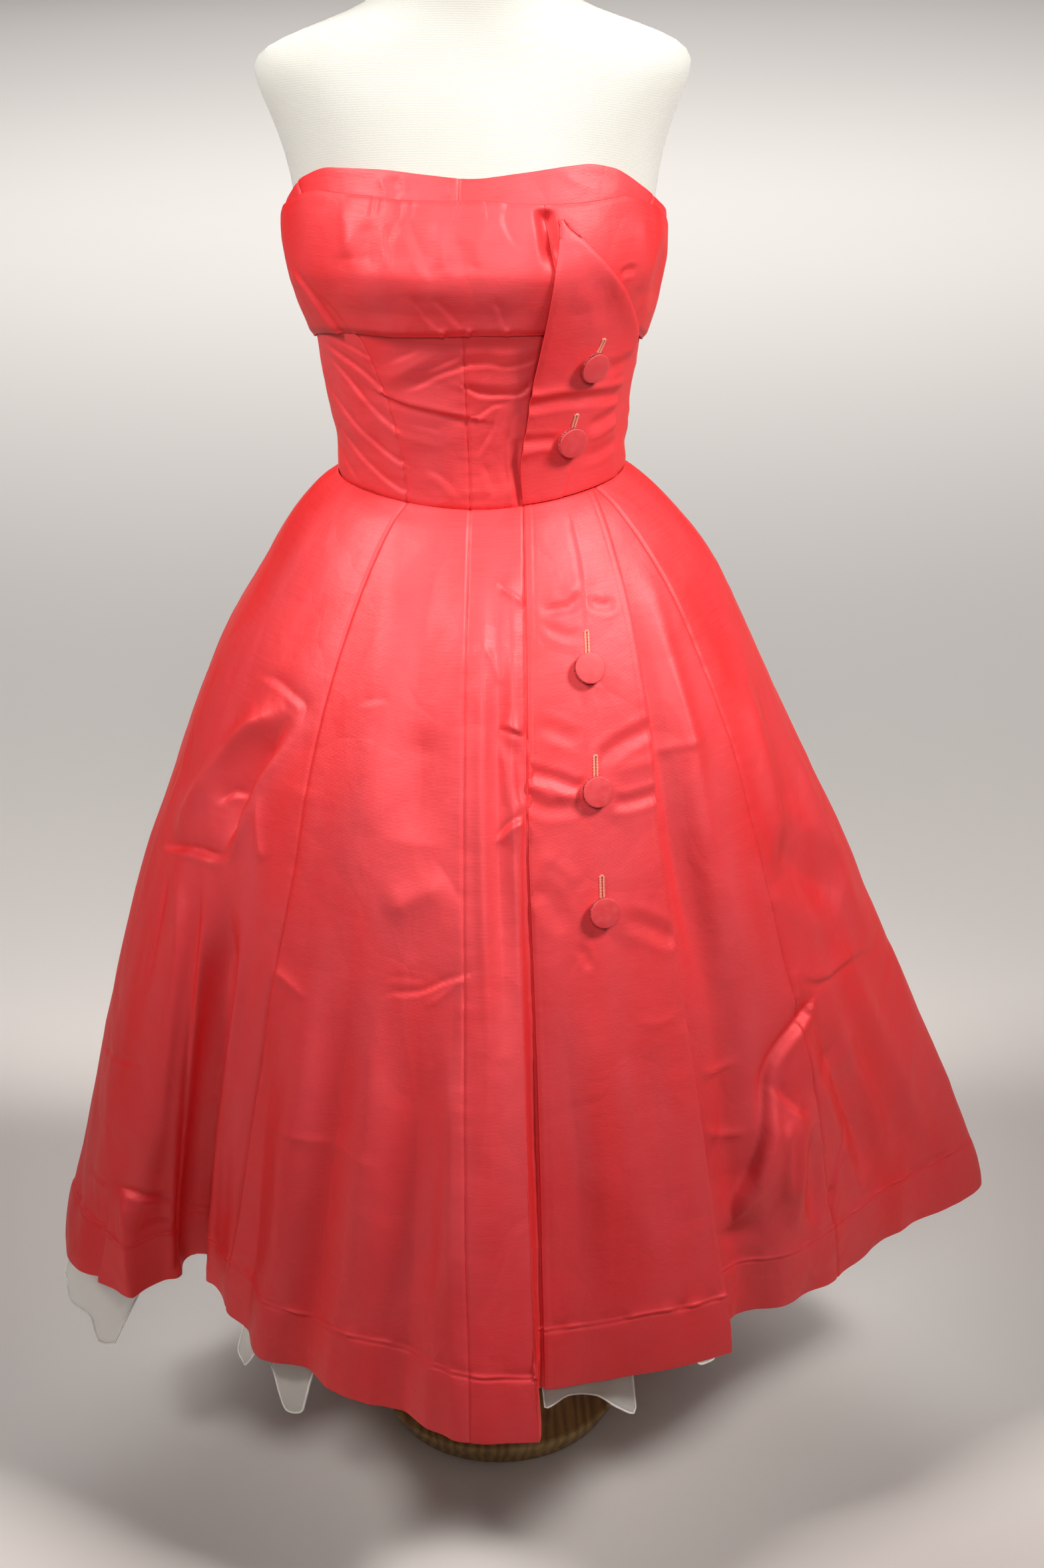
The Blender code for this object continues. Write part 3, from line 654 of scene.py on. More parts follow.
@dataclass
class CreaseMap:
    """The creases of one surface, laid on it once and shared by all its panels."""

    surface: Surface
    creases: tuple[Crease, ...]
    depth: float = 1.0
    across: float = 1.0
    lines: list[Array] = field(init=False)

    def __post_init__(self) -> None:
        """Lays each crease on the surface."""
        self.lines = [c.line(self.surface, self.across) for c in self.creases]

    def lift(self, points: Array, normals: Array) -> Array:
        """How far the creases move points along their normals.

        Args:
            points: Points of a cloth piece, before its creases.
            normals: Their unit normals.

        Returns:
            One distance in metres for each point.
        """
        shape = points.shape[:-1]
        flat, facing = points.reshape(-1, 3), normals.reshape(-1, 3)
        lift = np.zeros(len(flat))
        for crease, line in zip(self.creases, self.lines):
            width = crease.width * MILLIMETRE
            reach = 3.4 * width
            close = np.all((flat > line.min(0) - reach) & (flat < line.max(0) + reach), axis=1)
            near = np.flatnonzero(close)
            if near.size:
                lift[near] += self._one(crease, line, flat[near], facing[near], width)
        return lift.reshape(shape)

    def _one(self, crease: Crease, line: Array, points: Array, normals: Array, width: float) -> Array:
        """The lift of one crease at the points near it."""
        start, step = line[:-1], np.diff(line, axis=0)
        length2 = np.maximum(np.sum(step * step, axis=1), 1e-12)
        best = np.full(len(points), np.inf)
        side, along = np.zeros(len(points)), np.zeros(len(points))
        for k in range(len(start)):
            rel = points - start[k]
            t = np.clip(rel @ step[k] / length2[k], 0.0, 1.0)
            off = rel - t[:, None] * step[k]
            distance = np.linalg.norm(off, axis=1)
            closer = distance < best
            left = np.sum(np.cross(normals, step[k]) * off, axis=1)
            best = np.where(closer, distance, best)
            side = np.where(closer, np.where(left < 0, -distance, distance), side)
            along = np.where(closer, (k + t) / len(start), along)
        return crease.rise * MILLIMETRE * self.depth * crease.section(side / width) * crease.ends(along)


def crease_maker(form: Form) -> Callable[..., Crease]:
    """A maker of creases of one form, called with the rise and the width in millimetres, and the places."""
    def made(rise: float, width: float, *places: Place, fade: Fade = Fade.BOTH) -> Crease:
        """One crease of this form."""
        return Crease(form, places, rise, width, fade)

    return made


trough, ridge, fold, ledge, tuck = (crease_maker(form) for form in Form)

SKIRT_CREASES = (
    # The wearer's right lobe: a swirl, the rim and hollow under it, and the kink at its foot.
    tuck(1.4, 7, (-74, 194), (-68, 192), (-63.5, 199), (-60.4, 209), (-60.2, 232)),
    ridge(6.0, 11, (-81.3, 423), (-77.5, 352), (-72.7, 273), (-68.3, 238), (-63.5, 218)),
    tuck(9.5, 17, (-70.2, 405), (-68.6, 345), (-67.4, 295), (-65.4, 262), (-62.6, 222)),
    tuck(4.0, 8, (-83, 426), (-80.5, 420), (-77.5, 410), (-74.3, 403), (-70.5, 400), (-67.6, 386)),
    tuck(1.8, 7, (-73.5, 345), (-71, 325), (-68.6, 322)),
    fold(2.2, 6, (-67.6, 315), (-67, 350), (-67.3, 400)),
    fold(1.8, 6, (-64.8, 307), (-64.2, 340), (-62.8, 372), (-61.8, 385)),
    ridge(3.6, 10, (-77.5, 430), (-74, 500), (-72, 660), (-71.5, 820)),
    tuck(1.6, 7, (-79.5, 430), (-78, 500), (-77, 600)),
    tuck(3.0, 8, (-68, 980), (-68.4, 800), (-69.4, 620), (-71, 500), (-73, 425), fade=Fade.END),
    trough(11.0, 13, (-67.5, 420), (-65, 560), (-64.2, 780), (-64.4, 1000), fade=Fade.START),
    fold(6.0, 11, (-75.2, 850), (-74.2, 880), (-73.6, 930), (-73, 1000), fade=Fade.START),
    tuck(4.0, 10, (-77, 1000), (-76.8, 930), (-76.9, 860), fade=Fade.END),
    tuck(3.0, 7, (-76.5, 848), (-74, 852), (-71.2, 862), (-68.5, 878)),
    tuck(1.6, 5, (-73, 905), (-71, 896), (-69, 902)),
    tuck(1.0, 6, (-88, 714), (-79, 692), (-75, 680)),
    tuck(1.0, 5, (-82, 868), (-77, 856)),
    fold(1.8, 6, (-60, 600), (-59.5, 750), (-59, 970)),
    # The right front gore.
    tuck(0.6, 6, (-44, 193), (-38, 187), (-32, 184)),
    fold(1.4, 6, (-58, 504), (-54, 510), (-46, 526)),
    tuck(0.9, 4.5, (-27, 506), (-22, 498), (-17, 495), (-12.3, 487), (-8.5, 477), (-3.6, 469), fade=Fade.START),
    fold(0.7, 4.5, (-14, 511), (-9.5, 496), (-4.4, 474), fade=Fade.START),
    tuck(0.4, 5, (-26, 484), (-19, 479), (-13, 480)),
    ridge(2.6, 16, (-28, 410), (-18, 390), (-8, 366)),
    trough(3.0, 22, (-20, 200), (-18, 260), (-19, 330)),
    fold(1.0, 7, (-57, 716), (-46, 692), (-36, 692), (-28, 698), (-20, 710)),
    trough(4.0, 20, (-56, 520), (-53.5, 680), (-50.4, 880), (-49, 1000), fade=Fade.START),
    ridge(3.0, 17, (-45, 500), (-42, 720), (-41, 1000), fade=Fade.START),
    trough(3.2, 16, (-35, 480), (-33, 700), (-33, 1000), fade=Fade.START),
    ridge(2.6, 18, (-27, 520), (-25, 720), (-24, 1000), fade=Fade.START),
    trough(3.6, 18, (-15.5, 500), (-14.5, 700), (-14, 1000), fade=Fade.START),
    ridge(2.4, 12, (-6.6, 520), (-6, 700), (-5.4, 1000), fade=Fade.START),
    ridge(2.2, 24, (-31, 50), (-33, 160), (-36, 280), (-40, 420)),
    trough(1.8, 20, (-22, 30), (-22, 120), (-23, 240)),
    # The centre panel, which rolls forward over the edge of the placket.
    ridge(1.8, 8, (0.2, 40), (0.3, 200), (0.5, 380), (0.6, 600)),
    trough(2.4, 8, (2.4, 30), (2.6, 200), (2.6, 380), (2.8, 560)),
    ridge(2.0, 7, (5.3, 40), (5, 160), (5.3, 300), (5.6, 440)),
    fold(1.8, 5, (1.8, 62), (5, 78), (7.8, 88)),
    ledge(2.6, 5, (2.6, 205), (5, 210), (7.4, 216)),
    ledge(2.8, 6, (7.4, 300), (5, 309), (2.6, 326)),
    trough(2.4, 6, (5, 215), (6.2, 250), (6.6, 290)),
    fold(1.0, 5, (-1, 120), (1.5, 140), (3, 165)),
    # The left front gore, seen between the placket and the princess seam.
    fold(1.3, 6, (44.3, 262), (51, 258), (59.7, 259)),
    trough(4.5, 15, (50.5, 50), (47.5, 160), (46.5, 300), (47.5, 450), (50, 580)),
    ridge(3.0, 15, (55.5, 120), (55, 260), (56.5, 420), (59, 550)),
    fold(1.6, 5, (44.5, 640), (49, 650), (54.4, 643)),
    fold(1.8, 6, (44.5, 717), (49, 737), (54.1, 741)),
    trough(1.2, 9, (46.5, 860), (50, 878), (55, 873)),
    # The diagonal fold that falls from the left princess seam.
    fold(1.2, 6, (69.4, 552), (69.2, 580), (67, 604)),
    tuck(4.5, 11, (45, 862), (50, 826), (53.4, 796), (55.6, 755), (57, 715), (59, 672), (63, 641),
         (69.6, 616), fade=Fade.START),
    ridge(7.0, 15, (46.5, 880), (51, 848), (54.6, 812), (57, 762), (58.4, 724), (60.4, 690)),
    trough(0.5, 13, (67.5, 640), (62, 668), (60.2, 715), (59, 765), (56.5, 815), (53, 860)),
    ridge(6.0, 15, (64, 700), (62.5, 760), (60.5, 830), (59.5, 910)),
    tuck(2.4, 7, (59.4, 683), (62.2, 716), (65, 742)),
    fold(2.6, 6, (60.3, 731), (59.4, 768), (58.5, 850)),
    trough(3.2, 10, (65.5, 760), (64.5, 820), (64, 900)),
    tuck(2.6, 7, (67.1, 905), (68.9, 872), (71.5, 830), (75.2, 790)),
    fold(1.8, 4, (72.5, 800), (70.5, 840), (69, 870)),
    fold(1.6, 6, (79.5, 872), (77, 892), (75.4, 904)),
    trough(5.0, 15, (71, 600), (73.5, 700), (76.5, 800), (79.5, 920)),
    ridge(4.5, 19, (81, 550), (83.5, 680), (86, 800), (87.5, 930)),
    ledge(2.4, 9, (69, 560), (73.3, 586), (77, 594), (82, 592), (88, 602)),
    trough(4.5, 22, (70.5, 395), (77.7, 455), (85, 515)),
    ridge(3.5, 20, (78, 200), (74.5, 320), (71.5, 450)),
    ridge(3.5, 22, (88, 300), (86, 450), (88, 600)),
    trough(2.6, 20, (83, 220), (81, 320), (80, 420)),
    # The sides and the back, which hang more quietly.
    ledge(3.0, 9, (118, 560), (126, 545), (134, 552), (141, 570)),
    trough(5.0, 18, (112, 300), (116, 420), (119, 580), (120, 800)),
    fold(1.4, 6, (127, 300), (132, 320), (138, 318)),
    fold(1.6, 7, (141, 700), (148, 716), (156, 712)),
    ridge(3.0, 20, (146, 160), (147, 340), (150, 600)),
    trough(4.5, 19, (160, 220), (161, 400), (164, 660), (165, 900)),
    ledge(2.6, 8, (178, 400), (172, 385), (166, 392)),
    fold(1.5, 7, (-178, 620), (-172, 605), (-165, 612)),
    trough(4.5, 19, (-158, 200), (-158, 380), (-161, 620), (-163, 880)),
    ridge(3.0, 21, (-149, 140), (-148, 320), (-149, 560)),
    ledge(3.4, 9, (-140, 470), (-133, 452), (-126, 462), (-121, 480)),
    trough(5.0, 18, (-126, 280), (-129, 440), (-131, 660), (-131, 920)),
    fold(1.7, 7, (-123, 760), (-116, 742), (-108, 748)),
    trough(4.5, 18, (-101, 200), (-102, 340), (-100, 500), (-99, 720)),
    fold(1.4, 6, (-108, 245), (-101, 262), (-95, 256)),
    fold(1.8, 7, (98, 720), (104, 735), (112, 730)),
)

PLACKET_CREASES = (
    trough(1.7, 4.5, (100, 86), (230, 97), (400, 97), (490, 92), (575, 89.5)),
    trough(1.6, 4.5, (575, 89.5), (660, 98), (770, 102), (850, 96)),
    ridge(1.1, 7, (300, 80), (460, 80), (575, 74), (700, 83)),
    trough(1.1, 4, (100, 102), (250, 117), (400, 124), (520, 122)),
    ledge(0.9, 6, (565, 26), (580, 57), (560, 94), (535, 122), fade=Fade.END),
    trough(0.8, 4, (450, 174), (500, 212), (530, 247)),
    trough(1.3, 6, (30, 205), (200, 214), (340, 224), (440, 228)),
    trough(1.9, 5, (0, 255), (200, 265), (380, 277), (470, 276), fade=Fade.END),
    trough(1.7, 6, (530, 262), (630, 247), (770, 238), (970, 232), fade=Fade.START),
    trough(1.8, 5, (620, 299), (770, 303), (980, 302), fade=Fade.START),
    trough(1.5, 6, (0, 284), (170, 296), (400, 298), fade=Fade.END),
    ridge(1.1, 7, (20, 270), (200, 281), (400, 288), fade=Fade.END),
    ridge(1.2, 8, (620, 268), (800, 265), (970, 266), fade=Fade.START),
    trough(1.5, 8, (0, 375), (140, 398), (220, 435)),
    ridge(1.2, 9, (50, 340), (220, 360), (360, 385)),
    trough(1.5, 7, (620, 427), (800, 444), (960, 463), fade=Fade.START),
    trough(1.1, 4, (300, 448), (360, 466), (380, 482)),
    trough(1.8, 13, (160, 470), (200, 600), (230, 740), (220, 900)),
    ridge(1.4, 14, (400, 520), (420, 640), (400, 800)),
    fold(0.9, 6, (555, 700), (530, 750), (511, 800)),
    trough(1.8, 13, (700, 560), (740, 700), (740, 860)),
    fold(0.8, 6, (620, 545), (800, 560), (960, 553)),
    ridge(0.6, 6, (40, 30), (60, 120), (50, 240)),
)

BODICE_CREASES = (
    # The right side panel is pulled across towards the waist.
    tuck(1.0, 3.6, (-72, 128), (-54, 122), (-47.8, 118), (-40.8, 111)),
    tuck(1.7, 5, (-78, 122), (-63, 114), (-50, 103), (-42, 90), (-37.5, 82)),
    tuck(1.7, 5, (-74, 112), (-63.6, 101), (-52.4, 81), (-45, 68), (-38.4, 58), fade=Fade.START),
    tuck(1.6, 5, (-82, 88), (-68, 68), (-55.7, 50), (-46, 38), (-38, 30), fade=Fade.START),
    tuck(1.4, 5, (-84, 60), (-70, 42), (-56.8, 26), (-46, 14), (-38, 7), fade=Fade.START),
    tuck(1.1, 4.5, (-84, 34), (-72, 20), (-62, 8)),
    # The right front panel sags over a ledge, and is flatter under it.
    ledge(2.8, 8, (-39.5, 84), (-30, 79), (-20, 76), (-12, 73), (-4.8, 70), fade=Fade.NEITHER),
    ridge(2.0, 8, (-45.7, 96), (-34, 104), (-23.3, 116), (-14.9, 124)),
    tuck(1.2, 4.5, (-33, 91), (-25, 96), (-15, 106), (-5.2, 112), fade=Fade.START),
    tuck(0.8, 4, (-22.4, 107), (-13.9, 114), (-6, 121)),
    tuck(0.9, 4, (-38, 112), (-30, 119), (-22, 127)),
    tuck(0.8, 8, (-28, 26), (-22, 24), (-16.4, 18), (-8.4, 3)),
    tuck(0.5, 5, (-34, 64), (-24, 61), (-17, 59)),
    # The front centre panel swells between the seam and the tab.
    ridge(1.0, 5, (-4.8, 124), (4, 124), (12, 122), (20, 124), fade=Fade.NEITHER),
    tuck(1.0, 4.5, (-4.6, 113), (4, 114), (12, 111), (21, 114), fade=Fade.NEITHER),
    ridge(1.1, 7, (-4.6, 101), (4, 98), (12, 97), (20, 98), fade=Fade.NEITHER),
    tuck(1.6, 4.5, (-4.8, 95), (2, 89), (8.5, 88), (17.7, 88), (22, 94), fade=Fade.NEITHER),
    tuck(1.0, 4.5, (-4.6, 70), (1, 73), (7, 80), (15, 82), fade=Fade.END),
    tuck(1.0, 5, (-3, 34), (2, 48), (5.8, 60), (8, 76)),
    tuck(1.5, 7, (16, 70), (12.5, 50), (12, 28), (14, 10)),
    trough(2.6, 5, (20.2, 0), (19.8, 14), (18.2, 36), (18, 52), fade=Fade.END),
    tuck(1.0, 7, (1, 34), (4.5, 20), (7, 4)),
    # The band above the cuff, and the far sides.
    fold(1.3, 4, (-39, 257), (-35, 248), (-31.5, 241)),
    trough(1.2, 5, (-33.5, 257), (-31, 246), (-29, 241)),
    fold(0.8, 3, (-9.5, 255), (-9.2, 246), (-9, 240)),
    trough(1.0, 8, (8, 256), (10, 247), (11, 240)),
    fold(0.8, 7, (34, 257), (41, 248), (49, 241)),
    fold(1.4, 7, (84, 100), (96, 80), (112, 68)),
    fold(1.4, 7, (80, 64), (94, 44), (110, 36)),
    trough(1.4, 7, (78, 40), (90, 22), (104, 14)),
    fold(1.4, 7, (-104, 86), (-120, 70), (-136, 66)),
    trough(1.5, 7, (-100, 60), (-116, 40), (-134, 32)),
    fold(1.2, 7, (-150, 46), (-164, 54), (-178, 52)),
    trough(1.2, 8, (150, 30), (162, 40), (176, 38)),
    fold(1.2, 7, (134, 72), (148, 62), (160, 66)),
)

CUFF_CREASES = (
    # It turns under across the middle, and puckers where its lower edge is caught.
    ridge(1.1, 14, (-76, 580), (-50, 550), (-30, 530), (-10, 520), (10, 520), (25, 540), fade=Fade.NEITHER),
    trough(0.8, 11, (-58, 820), (-35, 810), (-10, 810), (16, 820)),
    fold(1.2, 1.5, (-12.6, 995), (-12, 965), (-13.4, 930), fade=Fade.END),
    fold(1.2, 1.5, (-3, 995), (-2.2, 960), (-3.4, 930), fade=Fade.END),
    fold(1.0, 1.5, (11.4, 995), (11, 960), (11.6, 930), fade=Fade.END),
    trough(1.0, 1.6, (-10.8, 995), (-10.6, 950), fade=Fade.END),
    trough(1.0, 1.6, (-1.4, 995), (-1, 950), fade=Fade.END),
    tuck(1.0, 6, (-22, 620), (-17, 800), (-12.5, 950)),
    tuck(0.8, 6, (-15, 660), (-9, 800), (-5, 930)),
    tuck(0.7, 6, (6, 680), (9, 800), (10.6, 940)),
    # Gathers under the top edge, and the soft uprights below them.
    tuck(0.9, 2.6, (-37.4, 0), (-36.8, 70), (-36.4, 140), fade=Fade.END),
    tuck(0.8, 2.4, (-34.4, 0), (-33.8, 60), (-33.4, 120), fade=Fade.END),
    tuck(0.8, 2.6, (-27.6, 0), (-27, 70), (-26.6, 140), fade=Fade.END),
    tuck(0.6, 2.6, (-23.2, 0), (-22.8, 60), (-22.6, 120), fade=Fade.END),
    tuck(0.7, 3.4, (-5, 0), (-6.4, 80), (-7.4, 160), fade=Fade.END),
    tuck(0.6, 3.0, (4.6, 0), (5.2, 70), (5.4, 140), fade=Fade.END),
    tuck(1.1, 6, (12.8, 0), (11.2, 120), (12.5, 220), (15.5, 320), fade=Fade.END),
    tuck(1.3, 9, (-26, 40), (-21, 220), (-16.7, 400), (-13.4, 540)),
    ridge(1.2, 8, (-13.5, 80), (-11.5, 260), (-10, 460)),
    tuck(0.9, 5, (-30.5, 140), (-28.5, 300), (-26.5, 460)),
    ridge(1.8, 12, (-50, 40), (-44, 220), (-42, 420)),
    trough(0.9, 8, (-38, 140), (-36, 300), (-33, 500)),
    ridge(1.2, 10, (4, 60), (3, 240), (1, 460)),
    trough(0.8, 7, (-6, 220), (-5, 360), (-3, 500)),
    ledge(2.2, 9, (-55.8, 1000), (-60, 800), (-65, 620), (-72, 480), fade=Fade.END),
    tuck(0.8, 6, (-49, 980), (-53, 820), (-57, 700), fade=Fade.END),
    # The wearer's left half, beyond the lapel.
    trough(1.3, 3.5, (57, 540), (53, 520), (49, 560)),
    ridge(1.4, 11, (62, 120), (60, 400), (64, 700)),
    trough(1.6, 11, (76, 200), (74, 500), (76, 800)),
    trough(1.6, 10, (110, 300), (116, 600), (118, 960), fade=Fade.START),
    fold(1.4, 8, (140, 700), (152, 560), (166, 600)),
    trough(1.6, 10, (-112, 200), (-118, 550), (-120, 960), fade=Fade.START),
    fold(1.4, 8, (-168, 500), (-154, 620), (-142, 580)),
    ridge(1.5, 11, (-90, 100), (-92, 450), (-90, 800)),
)

TAB_CREASES = (
    ridge(1.6, 5, (0, 88.5), (300, 90.5), (650, 89), (1000, 87), fade=Fade.NEITHER),
    trough(1.6, 5, (0, 80), (350, 81.5), (700, 79), (1000, 76), fade=Fade.NEITHER),
    trough(1.3, 4, (0, 50), (180, 50), (340, 48), fade=Fade.END),
    ridge(1.4, 4, (0, 40), (200, 42), (360, 40), fade=Fade.END),
    trough(1.5, 5, (600, 56), (780, 58), (1000, 62), fade=Fade.START),
    ridge(1.5, 4, (600, 44), (800, 46), (1000, 52), fade=Fade.START),
    trough(1.1, 5, (560, 30), (750, 30), (950, 34), fade=Fade.START),
    ledge(1.0, 5, (355, 1), (405, 10), (455, 21), (470, 27), fade=Fade.END),
    trough(1.0, 5, (620, 106), (780, 103), (980, 106), fade=Fade.START),
    ridge(1.0, 8, (300, 150), (340, 180), (480, 205)),
    trough(0.9, 8, (620, 135), (660, 160), (700, 180)),
)


# ---------------------------------------------------------------- finishes


class Recipe:
    """A node material under construction."""

    def __init__(self, name: str) -> None:
        """Starts a Principled material.

        Args:
            name: The material's name.
        """
        self.material = bpy.data.materials.new(name)
        self.material.use_nodes = True
        self.tree = self.material.node_tree
        self.shader = self.tree.nodes["Principled BSDF"]

    def node(self, kind: str, inputs: dict[str, object] | None = None, **settings: object) -> bpy.types.Node:
        """Adds a node.

        Args:
            kind: Blender's name of the node's type.
            inputs: Values of its sockets, or the outputs that feed them.
            **settings: The node's own settings.

        Returns:
            The new node.
        """
        made = self.tree.nodes.new(kind)
        for key, value in settings.items():
            setattr(made, key, value)
        for key, value in (inputs or {}).items():
            self.feed(made.inputs[key], value)
        return made

    def feed(self, socket: Socket, value: object) -> None:
        """Sets a socket to a value, or links an output to it."""
        if isinstance(value, Socket):
            self.tree.links.new(value, socket)
        else:
            socket.default_value = value

    def place(self, kind: str, scale: Sequence[float] = (1.0, 1.0, 1.0)) -> Socket:
        """The piece's own coordinates, "UV" or "Object", scaled by a Mapping node."""
        source = self.node("ShaderNodeTexCoord").outputs[kind]
        return self.node("ShaderNodeMapping", {"Vector": source, "Scale": scale}).outputs["Vector"]

    def noise(self, place: Socket, scale: float, detail: float = 3.0, **inputs: float) -> Socket:
        """A noise texture's factor."""
        node = self.node("ShaderNodeTexNoise", {"Vector": place, "Scale": scale, "Detail": detail, **inputs})
        return node.outputs["Fac"]

    def wave(self, place: Socket, scale: float, distortion: float, direction: str, **inputs: float) -> Socket:
        """A wave texture's factor, its bands across one direction. In the inputs' names _ stands for a space."""
        node = self.node("ShaderNodeTexWave", {"Vector": place, "Scale": scale, "Distortion": distortion,
                                               **{key.replace("_", " "): value for key, value in inputs.items()}},
                         bands_direction=direction)
        return node.outputs["Fac"]

    def ramp(self, factor: Socket, low: float, high: float, to_low: float, to_high: float) -> Socket:
        """A number read from one range into another, held at its ends."""
        node = self.node("ShaderNodeMapRange", {
            "Value": factor, "From Min": low, "From Max": high, "To Min": to_low, "To Max": to_high})
        return node.outputs["Result"]

    def mix(self, factor: object, first: object, second: object) -> Socket:
        """A colour between two."""
        node = self.node("ShaderNodeMix", data_type="RGBA")
        for socket, value in ((0, factor), (6, first), (7, second)):
            value = (*value, 1.0) if isinstance(value, tuple) else value
            self.feed(node.inputs[socket], value)
        return node.outputs[2]

    def sum(self, first: object, second: object, operation: str = "ADD") -> Socket:
        """Two numbers added, or joined by another operation."""
        node = self.node("ShaderNodeMath", operation=operation)
        self.feed(node.inputs[0], first)
        self.feed(node.inputs[1], second)
        return node.outputs[0]

    def bump(self, height: Socket, strength: float, distance: float, under: object = None) -> Socket:
        """A bumped normal, on top of another."""
        node = self.node("ShaderNodeBump", {"Height": height, "Strength": strength, "Distance": distance})
        if under is not None:
            self.feed(node.inputs["Normal"], under)
        return node.outputs["Normal"]

    def finish(self, **sockets: object) -> Material:
        """Feeds the shader's sockets, named with _ for a space, and hands the material over."""
        for name, value in sockets.items():
            value = (*value, 1.0) if isinstance(value, tuple) and len(value) == 3 else value
            self.feed(self.shader.inputs[name.replace("_", " ")], value)
        return self.material


@dataclass(frozen=True)
class ShotTaffeta:
    """Shot silk taffeta: coral across pink, with a fine rib across it, slubs, and a low sheen; the pink is laid on in
    random weft bands and is also painted in as sheen where the cloth faces the camera.
    """

    name: str = "coral_shot_taffeta"
    warp: Colour = (0.82, 0.02, 0.019)
    # Pink of the cross threads in the random bands, and also the colour of the painted sheen.
    weft_and_sheen: Colour = (0.72, 0.068, 0.08)
    deep: Colour = (0.7, 0.012, 0.014)
    ribs_per_metre: float = 950.0
    roughness: float = 0.48

    def make(self) -> Material:
        """The material, its weave laid on the piece's own UV map in metres."""
        r = Recipe(self.name)
        uv = r.place("UV")
        rib = r.wave(uv, self.ribs_per_metre * math.pi / 10, 1.2, "Y", Detail=2.0, Detail_Scale=0.3)
        slub = r.noise(r.place("UV", (26.0, 1400.0, 1.0)), 1.0, 2.0)
        thread = r.noise(r.place("UV", (2200.0, 60.0, 1.0)), 1.0, 1.0)
        cloud = r.noise(r.place("Object", (7.0, 7.0, 3.0)), 1.0, 3.0)
        band = r.noise(r.place("UV", (16.0, 2.0, 1.0)), 1.0, 2.0)
        # Painted sheen: pink is mixed into the colour where the cloth faces the camera, standing in for the threads'
        # highlight.
        facing = r.node("ShaderNodeLayerWeight", {"Blend": 0.35}).outputs["Facing"]
        painted_sheen = r.ramp(facing, 0.05, 0.75, 0.85, 0.1)
        patch = r.noise(r.place("Object", (11.0, 11.0, 6.0)), 1.0, 2.0, Distortion=0.8)
        # The pink's share: the painted sheen, plus random bands, slubs and patches of the weft.
        shot_and_painted_sheen = r.sum(r.sum(painted_sheen, r.ramp(band, 0.35, 0.65, -0.26, 0.2)), r.ramp(slub, 0.3, 0.7, -0.1, 0.1))
        shot_and_painted_sheen = r.sum(shot_and_painted_sheen, r.ramp(patch, 0.42, 0.62, -0.1, 0.09))
        ground = r.mix(r.ramp(cloud, 0.3, 0.7, 0.0, 1.0), self.warp, self.deep)
        colour = r.mix(r.ramp(shot_and_painted_sheen, 0.0, 1.0, 0.0, 0.85), ground, self.weft_and_sheen)
        crumple = r.noise(r.place("Object"), 34.0, 4.0, Roughness=0.55)
        normal = r.bump(crumple, 0.5, 0.0016)
        bent = r.node("ShaderNodeVectorMath", operation="ADD")
        wander = r.node("ShaderNodeTexNoise", {"Vector": r.place("Object"), "Scale": 9.0, "Detail": 2.0})
        self.shift(r, bent, wander.outputs["Color"])
        facets = r.node("ShaderNodeTexVoronoi", {"Vector": bent.outputs["Vector"], "Scale": 15.0},
                        feature="DISTANCE_TO_EDGE").outputs["Distance"]
        normal = r.bump(r.ramp(facets, 0.0, 0.22, 0.0, 1.0), 0.5, 0.0009, normal)
        normal = r.bump(r.sum(r.sum(rib, slub), r.sum(thread, 0.35, "MULTIPLY")), 0.26, 0.00017, normal)
        rough = r.ramp(r.sum(slub, cloud), 0.7, 1.3, self.roughness - 0.05, self.roughness + 0.07)
        return r.finish(Base_Color=colour, Roughness=rough, Normal=normal, Sheen_Weight=0.02,
                        Sheen_Roughness=0.5, Sheen_Tint=(1.0, 0.55, 0.55), Metallic=0.16, Specular_IOR_Level=0.7,
                        Specular_Tint=(1.0, 0.46, 0.44))

    @staticmethod
    def shift(r: Recipe, bent: bpy.types.Node, wander: Socket) -> None:
        """Bends the places that a pattern is read at, so that its lines wander."""
        swing = r.node("ShaderNodeVectorMath", {0: wander}, operation="SCALE")
        swing.inputs["Scale"].default_value = 0.1
        r.feed(bent.inputs[0], r.place("Object", (1.0, 1.0, 0.62)))
        r.feed(bent.inputs[1], swing.outputs["Vector"])


@dataclass(frozen=True)
class CoveredButton:
    """The dress's taffeta, pulled tight over a button, duller and with its weave pressed flat."""

    name: str = "taffeta_covered_button"
    colour: Colour = (0.56, 0.03, 0.036)
    worn: Colour = (0.58, 0.046, 0.052)

    def make(self) -> Material:
        """The material, its weave laid on the piece's own coordinates."""
        r = Recipe(self.name)
        weave = r.noise(r.place("Object", (2600.0, 2600.0, 3400.0)), 1.0, 2.0)
        cloud = r.noise(r.place("Object"), 160.0, 3.0)
        normal = r.bump(cloud, 0.3, 0.0004)
        return r.finish(Base_Color=r.mix(r.ramp(cloud, 0.35, 0.7, 0.0, 1.0), self.colour, self.worn),
                        Roughness=r.ramp(cloud, 0.3, 0.7, 0.5, 0.62), Normal=r.bump(weave, 0.3, 0.00015, normal),
                        Sheen_Weight=0.25, Sheen_Roughness=0.4, Sheen_Tint=(1.0, 0.6, 0.6))


